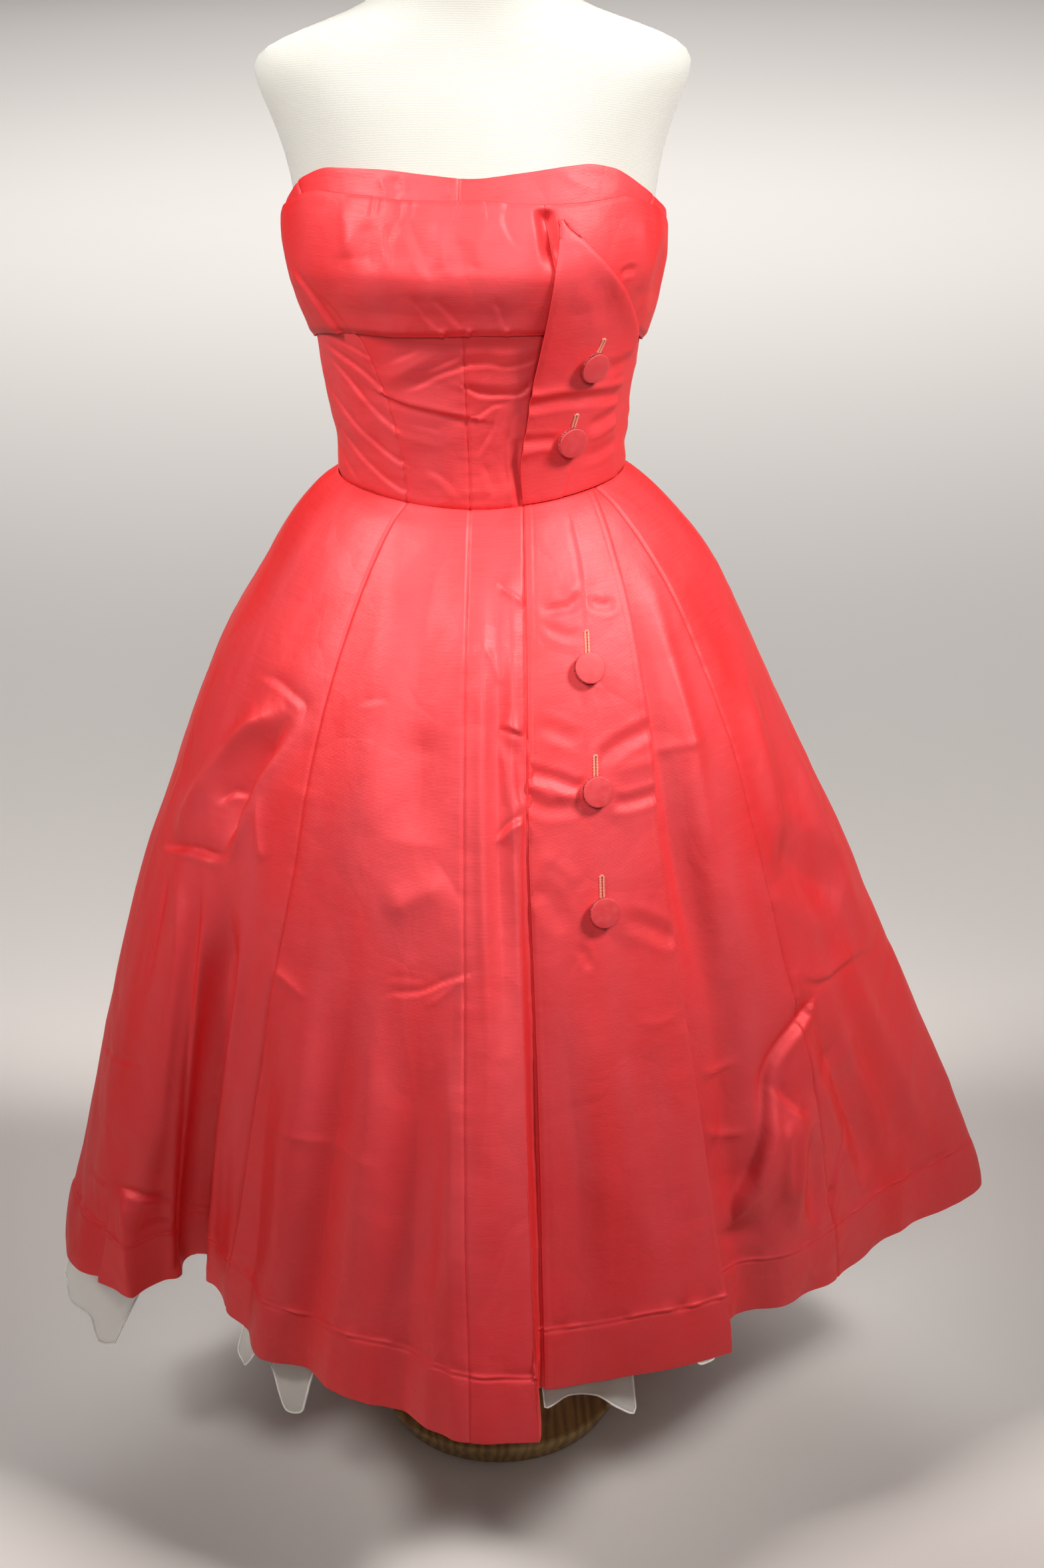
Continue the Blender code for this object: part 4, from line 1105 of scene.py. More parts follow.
@dataclass(frozen=True)
class SilkOrganza:
    """Crisp ivory organza, sheer, with a fine plain weave."""

    name: str = "ivory_organza"
    colour: Colour = (0.92, 0.9, 0.84)
    alpha: float = 0.36
    threads: float = 420.0

    def make(self) -> Material:
        """The material, its weave laid on the piece's own UV map in metres."""
        r = Recipe(self.name)
        along, across = (r.wave(r.place("UV"), self.threads, 0.6, direction) for direction in "XY")
        cloud = r.noise(r.place("Object"), 16.0, 2.0)
        tone = r.mix(r.ramp(cloud, 0.3, 0.7, 0.0, 1.0), self.colour, (0.84, 0.81, 0.72))
        normal = r.bump(r.sum(along, across), 0.25, 0.00015, r.bump(cloud, 0.4, 0.002))
        return r.finish(Base_Color=tone, Roughness=0.55, Normal=normal, Alpha=self.alpha,
                        Sheen_Weight=0.3, Sheen_Roughness=0.4)


@dataclass(frozen=True)
class Thread:
    """Sewing thread, wound or worked, with a twist, its grooves painted darker as shade."""

    name: str
    colour: Colour
    # The colour of the painted shade in the twist's grooves.
    dark: Colour
    twist: float = 900.0

    def make(self) -> Material:
        """The material, its twist laid on the piece's own coordinates."""
        r = Recipe(self.name)
        turns = r.wave(r.place("Object"), self.twist, 1.5, "DIAGONAL")
        # Painted shade: the colour goes to the dark one where the twist's bump is low, in its grooves.
        return r.finish(Base_Color=r.mix(turns, self.dark, self.colour), Roughness=0.5,
                        Normal=r.bump(turns, 0.5, 0.0002), Sheen_Weight=0.3, Sheen_Roughness=0.4)


@dataclass(frozen=True)
class FormJersey:
    """Cream cotton jersey, stretched over the padded form."""

    name: str = "cream_jersey"
    colour: Colour = (0.54, 0.53, 0.485)
    shade: Colour = (0.49, 0.475, 0.42)

    def make(self) -> Material:
        """The material, its knit laid on the piece's own coordinates."""
        r = Recipe(self.name)
        rows = r.wave(r.place("Object"), 260.0, 1.0, "Z", Detail=1.0)
        stitch = r.noise(r.place("Object", (900.0, 900.0, 420.0)), 1.0, 1.0)
        cloud = r.noise(r.place("Object"), 9.0, 3.0)
        normal = r.bump(r.sum(rows, stitch), 0.35, 0.0002, r.bump(cloud, 0.2, 0.002))
        tone = r.mix(r.sum(r.ramp(cloud, 0.35, 0.7, 0.0, 0.7), r.ramp(stitch, 0.3, 0.7, 0.0, 0.3)),
                     self.colour, self.shade)
        return r.finish(Base_Color=tone, Roughness=0.85, Normal=normal, Sheen_Weight=0.35, Sheen_Roughness=0.5)


@dataclass(frozen=True)
class TurnedWood:
    """Ochre turned wood under worn wax, its grain running across the base."""

    name: str = "ochre_turned_wood"
    light: Colour = (0.42, 0.26, 0.085)
    dark: Colour = (0.2, 0.105, 0.03)
    knock: Colour = (0.52, 0.36, 0.15)

    def make(self) -> Material:
        """The material, its grain laid on the piece's own coordinates."""
        r = Recipe(self.name)
        grain = r.wave(r.place("Object", (1.0, 0.12, 1.0)), 34.0, 7.0, "X", Detail=4.0, Detail_Scale=1.6)
        pores = r.noise(r.place("Object", (900.0, 45.0, 900.0)), 1.0, 3.0)
        wear = r.noise(r.place("Object"), 24.0, 4.0)
        tone = r.mix(r.ramp(grain, 0.1, 0.95, 0.0, 0.8), self.light, self.dark)
        tone = r.mix(r.ramp(pores, 0.52, 0.66, 0.0, 0.45), tone, self.dark)
        tone = r.mix(r.ramp(wear, 0.56, 0.74, 0.0, 0.6), tone, self.knock)
        return r.finish(Base_Color=tone, Roughness=r.ramp(wear, 0.3, 0.7, 0.36, 0.58),
                        Normal=r.bump(r.sum(pores, grain), 0.25, 0.0003), Coat_Weight=0.15, Coat_Roughness=0.3)


@dataclass(frozen=True)
class BrushedSteel:
    """The pole's drawn steel, with fine marks round it."""

    name: str = "drawn_steel"
    colour: Colour = (0.58, 0.58, 0.57)

    def make(self) -> Material:
        """The material, its marks laid on the piece's own coordinates."""
        r = Recipe(self.name)
        marks = r.noise(r.place("Object", (30.0, 30.0, 1800.0)), 1.0, 2.0)
        smears = r.noise(r.place("Object"), 18.0, 3.0)
        return r.finish(Base_Color=r.mix(smears, self.colour, (0.45, 0.44, 0.42)), Metallic=1.0,
                        Roughness=r.ramp(smears, 0.3, 0.7, 0.28, 0.44), Normal=r.bump(marks, 0.2, 0.0001))


@dataclass(frozen=True)
class PaleFloor:
    """The studio's plain pale floor."""

    name: str = "pale_floor"
    colour: Colour = (0.82, 0.77, 0.73)

    def make(self) -> Material:
        """The material, all but even."""
        r = Recipe(self.name)
        cloud = r.noise(r.place("Object"), 1.4, 3.0)
        return r.finish(Base_Color=r.mix(cloud, self.colour, (0.8, 0.755, 0.71)), Roughness=0.9)


# ---------------------------------------------------------------- cloth shells


@dataclass(frozen=True)
class Cut:
    """The flat shape a panel is cut to: its width, its length and its area."""

    width: float
    length: float
    area: float


@dataclass
class Edges:
    """How far each point of a grid lies from the grid's four edges, along the cloth."""

    start: Array
    end: Array
    top: Array
    bottom: Array

    @classmethod
    def of(cls, points: Array) -> "Edges":
        """Measures a grid of points.

        Args:
            points: Rows of points, from the top edge to the bottom edge.

        Returns:
            The four distances at each point.
        """
        across = np.zeros(points.shape[:2])
        across[:, 1:] = np.cumsum(np.linalg.norm(np.diff(points, axis=1), axis=2), axis=1)
        down = np.zeros(points.shape[:2])
        down[1:] = np.cumsum(np.linalg.norm(np.diff(points, axis=0), axis=2), axis=0)
        return cls(across, across[:, -1:] - across, down, down[-1:] - down)

    @property
    def side(self) -> Array:
        """Distance from the nearer of the two sides."""
        return np.minimum(self.start, self.end)


Lift = Callable[[Array, Array, Edges], Array]


def grid_normals(points: Array) -> Array:
    """Unit normals of a grid of points, away from the axis for most of it."""
    along, down = np.gradient(points, axis=1), np.gradient(points, axis=0)
    normals = unit(np.cross(along, down))
    level = points * np.array([1.0, 1.0, 0.0])
    return normals if np.sum(normals * level) > 0 else -normals


def graded(start: float, end: float, count: int, width: float, rims: Sequence[float] = (0.7, 1.6, 2.8, 4.4)) -> Array:
    """Places from start to end, even but for a few close ones at both ends.

    Args:
        start: First place.
        end: Last place.
        count: Even steps between the close ones.
        width: Real distance from start to end, in metres.
        rims: Distances of the close places from the ends, in millimetres.

    Returns:
        The places, both ends with them.
    """
    close = np.array(rims) * MILLIMETRE / width
    even = np.linspace(close[-1], 1 - close[-1], count + 1)
    shares = np.concatenate([[0.0], close[:-1], even, 1 - close[:-1][::-1], [1.0]])
    return start + (end - start) * shares


def seam_dip(distance: Array, depth: float = 1.0, width: float = 1.5) -> Array:
    """The cloth's dip into a seam, in metres, from depth and width in millimetres."""
    return -depth * MILLIMETRE * np.exp(-(distance / (width * MILLIMETRE)) ** 2)


def seam_pucker(points: Array, distance: Array, height: float = 0.35, pitch: float = 0.008) -> Array:
    """Small ripples beside a seam where its stitches draw the cloth up."""
    ripple = soft_noise(points / np.array([0.06, 0.06, pitch]), 71)
    return height * MILLIMETRE * ripple * np.exp(-distance / 0.007)


def new_object(name: str, points: Array, faces: Array, finish: Material, uv: Array | None = None) -> Piece:
    """Makes a smooth mesh object of four-sided faces.

    Args:
        name: The object's name.
        points: Vertices, one row each.
        faces: Four vertex numbers a row.
        finish: Its material.
        uv: A place on the flat cloth for each vertex, in metres.

    Returns:
        The new object, linked into the scene.
    """
    mesh = bpy.data.meshes.new(name)
    mesh.vertices.add(len(points))
    mesh.vertices.foreach_set("co", points.astype(np.float32).ravel())
    mesh.loops.add(faces.size)
    mesh.loops.foreach_set("vertex_index", faces.astype(np.int32).ravel())
    mesh.polygons.add(len(faces))
    mesh.polygons.foreach_set("loop_start", np.arange(0, faces.size, 4, dtype=np.int32))
    if uv is not None:
        layer = mesh.uv_layers.new(name="cloth")
        layer.uv.foreach_set("vector", uv[faces.ravel()].astype(np.float32).ravel())
    mesh.update(calc_edges=True)
    mesh.validate()
    mesh.materials.append(finish)
    mesh.shade_smooth()
    made = bpy.data.objects.new(name, mesh)
    bpy.context.collection.objects.link(made)
    return made


@dataclass
class ClothPanel:
    """One panel of cloth: a surface read on a grid, creased, and given a wall with a rounded rim."""

    name: str
    surface: Surface
    us: Array
    vs: Array
    wall: float
    lift: Lift
    points: Array = field(init=False)
    normals: Array = field(init=False)

    def shape(self) -> None:
        """Lays the grid on the surface and moves it by the panel's lift."""
        u, v = np.meshgrid(self.us, self.vs)
        plain = self.surface(u, v)
        normals = grid_normals(plain)
        self.points = plain + normals * self.lift(plain, normals, Edges.of(plain))[..., None]
        self._pull_in(SEAM_GAP)
        self.normals = grid_normals(self.points)

    def _pull_in(self, gap: float) -> None:
        """Draws the rim in by a gap, so that neighbours don't touch."""
        p = self.points
        p[:, 0] += unit(p[:, 1] - p[:, 0]) * gap
        p[:, -1] += unit(p[:, -2] - p[:, -1]) * gap
        p[0] += unit(p[1] - p[0]) * gap
        p[-1] += unit(p[-2] - p[-1]) * gap

    def at(self, u: float, v: float) -> tuple[Array, Array]:
        """The finished cloth's point and normal at a place of its surface."""
        i = float(np.interp(v, self.vs, np.arange(len(self.vs))))
        j = float(np.interp(u, self.us, np.arange(len(self.us))))
        i0, j0 = min(int(i), len(self.vs) - 2), min(int(j), len(self.us) - 2)
        s, t = i - i0, j - j0

        def read(grid: Array) -> Array:
            """The grid's value between its four nearest points."""
            top = grid[i0, j0] * (1 - t) + grid[i0, j0 + 1] * t
            low = grid[i0 + 1, j0] * (1 - t) + grid[i0 + 1, j0 + 1] * t
            return top * (1 - s) + low * s

        return read(self.points), unit(read(self.normals))

    def flat_places(self) -> Array:
        """Where each point lies on the flat cloth, in metres from the panel's middle line."""
        edges = Edges.of(self.points)
        middle = self.points.shape[1] // 2
        across = edges.start - edges.start[:, middle:middle + 1]
        down = np.broadcast_to(edges.top[:, middle:middle + 1], across.shape)
        return np.stack([across, -down], axis=-1)

    def build(self, finish: Material) -> Piece:
        """Closes the grid into a wall of cloth.

        Args:
            finish: The cloth's material.

        Returns:
            The finished object.
        """
        self.shape()
        rows, columns = self.points.shape[:2]
        rear = self.points - self.normals * self.wall
        rim, rim_uv = self._rim()
        flat = self.flat_places()
        points = np.concatenate([self.points.reshape(-1, 3), rear.reshape(-1, 3), rim])
        uv = np.concatenate([flat.reshape(-1, 2), flat.reshape(-1, 2), rim_uv])
        number = np.arange(rows * columns).reshape(rows, columns)
        front = np.stack([number[:-1, :-1], number[:-1, 1:], number[1:, 1:], number[1:, :-1]], axis=-1).reshape(-1, 4)
        loop = self._loop(number)
        following = np.roll(loop, -1)
        edge = 2 * rows * columns + np.arange(len(loop))
        edge_next = np.roll(edge, -1)
        behind = rows * columns
        walls = [front, front[:, ::-1] + behind,
                 np.stack([following, loop, edge, edge_next], axis=-1),
                 np.stack([edge_next, edge, loop + behind, following + behind], axis=-1)]
        faces = np.concatenate(walls)
        a, b, c = (self.points.reshape(-1, 3)[front[:, k]] for k in (0, 1, 2))
        facing = np.cross(b - a, c - b)
        if np.sum(facing * self.normals.reshape(-1, 3)[front[:, 0]]) < 0:
            faces = faces[:, ::-1]
        return new_object(self.name, points, faces, finish, uv)

    @staticmethod
    def _loop(number: Array) -> Array:
        """The rim's vertices in order round the grid."""
        return np.concatenate([number[0, :-1], number[:-1, -1], number[-1, :0:-1], number[:0:-1, 0]])

    def _rim(self) -> tuple[Array, Array]:
        """The middle line of the rounded rim, half a wall in and half a wall out."""
        p, n = self.points, self.normals
        out = np.zeros_like(p)
        out[:, 0] += unit(p[:, 0] - p[:, 1])
        out[:, -1] += unit(p[:, -1] - p[:, -2])
        out[0] += unit(p[0] - p[1])
        out[-1] += unit(p[-1] - p[-2])
        middle = p - n * self.wall / 2 + out * self.wall * 0.32
        order = self._loop(np.arange(p.shape[0] * p.shape[1]).reshape(p.shape[:2]))
        return middle.reshape(-1, 3)[order], self.flat_places().reshape(-1, 2)[order]


def declare(piece: Piece, slot: str, *nodes: str) -> None:
    """Attaches a piece to the body, hides the CAD solids that it stands for, and logs its triangles."""
    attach(piece, BODY)
    if nodes:
        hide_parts(*nodes)
    LOG.info("%s: %d triangles", piece.name, sum(len(p.vertices) - 2 for p in piece.data.polygons))


def declare_cloth(piece: Piece, slot: str, cut: Cut, held: str, rests_on: str, *with_pieces: Piece) -> None:
    """Attaches a cloth piece to the body and hides the CAD solid named after it.

    Args:
        piece: The finished cloth, named after its solid.
        slot: Its material slot; not used.
        cut: Its flat cut; not used.
        held: How the cloth is held; not used.
        rests_on: Name of what it lies on or hangs from; not used.
        *with_pieces: Pieces sewn on it; not used.
    """
    declare(piece, slot, piece.name.removesuffix("_cloth"))


# ---------------------------------------------------------------- skirt


@dataclass(frozen=True)
class Gore:
    """A gore of the skirt, between two seams, with its cut and how finely it is read."""

    node: str
    cut: Cut
    step: float


@dataclass
class Skirt:
    """Nine gores with a deep hem, and the button placket that lies on the left front one."""

    cloth: Material
    wall: float = 0.0014
    hem_line: float = 0.922
    length: float = 0.76
    placket_width: float = 0.17
    stitching: float = 0.0065
    gores: tuple[Gore, ...] = (
        Gore("skirt_back_right", Cut(0.28, 0.79, 0.15), 0.0048),
        Gore("skirt_back_side_right", Cut(0.29, 0.79, 0.172), 0.0048),
        Gore("skirt_front_side_right", Cut(0.42, 0.79, 0.217), 0.0026),
        Gore("skirt_front_right", Cut(0.31, 0.77, 0.135), 0.0025),
        Gore("skirt_front_centre", Cut(0.13, 0.78, 0.057), 0.002),
        Gore("skirt_front_left", Cut(0.32, 0.78, 0.17), 0.003),
        Gore("skirt_front_side_left", Cut(0.26, 0.81, 0.146), 0.0025),
        Gore("skirt_back_side_left", Cut(0.32, 0.8, 0.182), 0.0048),
        Gore("skirt_back_left", Cut(0.29, 0.79, 0.151), 0.0048),
    )
    placket_cut: Cut = Cut(0.17, 0.77, 0.094)
    creases: CreaseMap = field(init=False)
    placket_creases: CreaseMap = field(init=False)
    placket: ClothPanel = field(init=False)

    def __post_init__(self) -> None:
        """Lays the skirt's creases."""
        self.creases = CreaseMap(SKIRT.point, SKIRT_CREASES, 1.7)
        self.placket_creases = CreaseMap(PLACKET.point, PLACKET_CREASES, 1.15, across=0.001)

    def build(self) -> None:
        """Builds and declares every gore and the placket."""
        for gore, start, end in zip(self.gores, SKIRT_SEAMS, SKIRT_SEAMS[1:]):
            self._gore(gore, start, end)
        self._placket()

    def _gore(self, gore: Gore, start: Seam, end: Seam) -> None:
        """Builds one gore."""
        hem = SKIRT.point(np.linspace(start.hem, end.hem, 120), np.ones(120))
        width = float(np.sum(np.linalg.norm(np.diff(hem, axis=0), axis=1)))
        us = graded(start.hem, end.hem, round(width / gore.step), width)
        vs = self._rows(SKIRT.point, (start.hem + end.hem) / 2, round(self.length / gore.step))

        def lift(points: Array, normals: Array, edges: Edges) -> Array:
            """The folds, seams and hem of this gore."""
            share = SKIRT.share_of(points)
            hung = self._hang(points, normals)
            deepest = -(0.0135 + 0.004 * share)
            hung = np.where(hung < deepest, deepest + 0.25 * (hung - deepest), hung)
            moved = hung + self._hem(points, edges) + seam_dip(edges.side) + seam_pucker(points, edges.side)
            return moved + seam_dip(edges.top, 0.3) + self._under_placket(points, gore.node)

        panel = ClothPanel(f"{gore.node}_cloth", SKIRT.point, us, vs, self.wall, lift)
        inner = "underskirt_back_cloth" if "_back_" in gore.node else "underskirt_front_cloth"
        declare_cloth(panel.build(self.cloth), "taffeta", gore.cut, "hung", inner)

    def _rows(self, surface: Surface, middle: float, count: int) -> Array:
        """Rows down a skirt piece, with close ones at the hem line.

        Args:
            surface: The surface that the piece is read on.
            middle: The column in the piece's middle.
            count: Even rows.

        Returns:
            The rows' shares of the drop.
        """
        line = surface(np.full(90, middle), np.linspace(0.0, 1.0, 90))
        length = float(np.sum(np.linalg.norm(np.diff(line, axis=0), axis=1)))
        close = 1 - (self.hem_depth + np.linspace(-0.0075, 0.0055, 13)) / length
        return np.unique(np.concatenate([graded(0.0, 1.0, count, length), close]))

    @property
    def hem_depth(self) -> float:
        """How deep the hem is, measured along the cloth."""
        return (1 - self.hem_line) * SKIRT.drop * 1.06

    def _hang(self, points: Array, normals: Array) -> Array:
        """Creases and the slow waves of the cloth, which grow down the skirt."""
        share = SKIRT.share_of(points)
        growth = smooth_step(0.0, 0.7, share)
        slow = Wave((11, 11, 2.6), 2.6, 3).lift(points) * (0.15 + 0.85 * growth)
        middle = Wave((26, 26, 7), 0.9, 5).lift(points) * (0.4 + 0.6 * growth)
        crisp = Wave((17, 17, 9), 3.2, 9, crisp=True, shift=4.0).lift(points) * (0.25 + 0.75 * growth)
        crushed = Wave((34, 34, 22), 2.4, 19, crisp=True, shift=4.0).lift(points) * self._crushed(points, share)
        edge = Wave((34, 34, 2), 2.0, 13).lift(points) * smooth_step(0.86, 1.0, share)
        return self.creases.lift(points, normals) + (slow + middle + crisp + crushed + edge) * MILLIMETRE

    @staticmethod
    def _crushed(points: Array, share: Array) -> Array:
        """How much the cloth is crushed: most at the right lobe's pocket and low on the left."""
        azimuth = azimuth_of(points)
        pocket = np.exp(-((azimuth + 71) / 12) ** 2 - ((share - 0.36) / 0.13) ** 2)
        lobe = np.exp(-((azimuth + 76) / 9) ** 2) * smooth_step(0.7, 0.95, share)
        low_left = np.exp(-((azimuth - 66) / 16) ** 2) * smooth_step(0.5, 0.75, share)
        return 0.16 + 0.9 * np.maximum(np.maximum(pocket, lobe), low_left)

    def _hem(self, points: Array, edges: Edges) -> Array:
        """The doubled hem, and the puckered line where it is caught up."""
        wander = Wave((30, 30, 0), 0.0016, 21).lift(points)
        off = edges.bottom - self.hem_depth - wander
        ripple = soft_noise(points / np.array([0.013, 0.013, 0.05]), 23)
        wave = soft_noise(points / np.array([0.032, 0.032, 0.2]), 29)
        doubled = 0.9 * smooth_step(0.001, -0.002, off)
        line = 1.3 * np.exp(-(off / 0.0014) ** 2) - 1.5 * np.exp(-((off + 0.003) / 0.0016) ** 2)
        puckers = 2.5 * ripple * np.exp(-(off / 0.0055) ** 2)
        band = 2.2 * wave * smooth_step(0.02, -0.01, off)
        return (doubled + line * (0.55 + 0.45 * ripple) + puckers + band) * MILLIMETRE

    @staticmethod
    def _under_placket(points: Array, node: str) -> Array:
        """Draws the gore in where the placket hides it."""
        if node != "skirt_front_left":
            return np.zeros(points.shape[:-1])
        azimuth = azimuth_of(points)
        share = np.clip((waist_height(azimuth) - points[..., 2]) / SKIRT.drop, 0.0, 1.0)
        inner, outer = PLACKET.edges(share)
        return -3.4 * MILLIMETRE * smooth_step(0.0, 2.5, azimuth - inner) * smooth_step(0.0, 2.5, outer - azimuth)

    def _placket(self) -> None:
        """Builds the placket."""
        us = graded(0.0, 1.0, 76, self.placket_width)
        vs = self._rows(PLACKET.point, 0.5, 290)

        def lift(points: Array, normals: Array, edges: Edges) -> Array:
            """The folds, rolled edges and hem of the placket."""
            share = SKIRT.share_of(points)
            slow = Wave((14, 14, 4), 0.9, 41).lift(points)
            crisp = Wave((26, 26, 15), 1.0, 43, crisp=True).lift(points)
            rolled = seam_dip(edges.start, 0.7, 2.2) + seam_dip(edges.end, 0.7, 2.2) + seam_dip(edges.top, 0.6)
            stitched = sum(seam_dip(np.abs(edge - self.stitching), 0.25, 1.2) for edge in (edges.start, edges.end))
            own = self.placket_creases.lift(points, normals)
            rough = (slow + crisp) * MILLIMETRE * (0.4 + 0.6 * share)
            return own + rough + rolled + stitched + self._hem(points, edges)

        self.placket = ClothPanel("button_placket_cloth", PLACKET.point, us, vs, self.wall, lift)
        piece = self.placket.build(self.cloth)
        declare_cloth(piece, "taffeta", self.placket_cut, "hung", "skirt_front_left_cloth")


@dataclass
class Underskirt:
    """Two halves of sheer organza, with a fine rolled edge."""

    cloth: Material
    edging: Material
    wall: float = 0.0005
    edge_radius: float = 0.0009
    halves: tuple[tuple[str, float, float, Cut], ...] = (
        ("underskirt_front", -95.0, 98.0, Cut(1.7, 0.8, 0.58)),
        ("underskirt_back", 98.0, 265.0, Cut(1.35, 0.75, 0.57)),
    )

    def build(self) -> None:
        """Builds and declares both halves."""
        for node, start, end, cut in self.halves:
            us = graded(start, end, round((end - start) / 0.52), 1.1)
            vs = np.concatenate([np.linspace(0.0, 0.6, 24)[:-1], np.linspace(0.6, 1.0, 52)])
            panel = ClothPanel(f"{node}_cloth", UNDERSKIRT.point, us, vs, self.wall, self._lift)
            piece = panel.build(self.cloth)
            edge = self._edge(f"{node}_edge", panel)
            declare(edge, "organza")
            declare_cloth(piece, "organza", cut, "hung", "form_torso_padded", edge)

    def _lift(self, points: Array, normals: Array, edges: Edges) -> Array:
        """Ruffles that grow towards the edge."""
        drop = WAIST_Z - points[..., 2]
        growth = smooth_step(0.45, 0.78, drop)
        ruffle = Wave((46, 46, 3), 3.6, 51).lift(points)
        broad = Wave((18, 18, 2), 3.0, 53).lift(points)
        curl = Wave((80, 80, 20), 1.8, 57).lift(points) * np.exp(-edges.bottom / 0.02)
        return (ruffle + broad + curl) * growth * MILLIMETRE

    def _edge(self, name: str, panel: ClothPanel) -> Piece:
        """The rolled edge: a fine cord along the bottom of a half."""
        path = panel.points[-1] - panel.normals[-1] * self.wall / 2
        return cord_along(name, path, self.edge_radius, self.edging, closed=False)


def cord_along(name: str, path: Array, radius: float, finish: Material, closed: bool, sides: int = 6) -> Piece:
    """A round cord that follows a path.

    Args:
        name: The object's name.
        path: Its middle line, one point a row.
        radius: Its radius, or one radius for each point.
        finish: Its material.
        closed: Whether the path joins up.
        sides: How many faces go round it.

    Returns:
        The finished object, its ends closed.
    """
    radii = np.broadcast_to(np.asarray(radius, float), (len(path),))
    along = unit(np.roll(path, -1, 0) - np.roll(path, 1, 0)) if closed else unit(np.gradient(path, axis=0))
    out = unit(np.cross(along, np.array([0.0, 0.0, 1.0])) + 1e-6)
    up = np.cross(out, along)
    turns = np.arange(sides) * 2 * math.pi / sides
    ring = out[:, None] * np.cos(turns)[None, :, None] + up[:, None] * np.sin(turns)[None, :, None]
    grid = path[:, None] + ring * radii[:, None, None]
    count = len(path)
    number = np.arange(count * sides).reshape(count, sides)
    following = np.roll(number, -1, 0) if closed else number[1:]
    here = number if closed else number[:-1]
    faces = np.stack([here, following, np.roll(following, -1, 1), np.roll(here, -1, 1)], axis=-1).reshape(-1, 4)
    if not closed:
        caps = [[row[0], row[k], row[k + 1], row[k + 2]] for row in (number[0],) for k in range(1, sides - 2, 2)]
        ends = [[row[0], row[k + 2], row[k + 1], row[k]] for row in (number[-1],) for k in range(1, sides - 2, 2)]
        faces = np.concatenate([faces, np.array(caps), np.array(ends)])
    a, b, c = (grid.reshape(-1, 3)[faces[:, k]] for k in (0, 1, 2))
    middle = np.repeat(path[:len(here)], sides, axis=0)
    facing = np.sum(np.cross(b - a, c - b)[:len(middle)] * (a[:len(middle)] - middle))
    faces = faces if facing > 0 else faces[:, ::-1]
    return new_object(name, grid.reshape(-1, 3), faces, finish)


# ---------------------------------------------------------------- bodice


@dataclass(frozen=True)
class PanelSpan:
    """A panel of the bodice between two seams, by their azimuths at the waist and at the neckline."""

    node: str
    waist_start: float
    waist_end: float
    top_start: float
    top_end: float
    cut: Cut


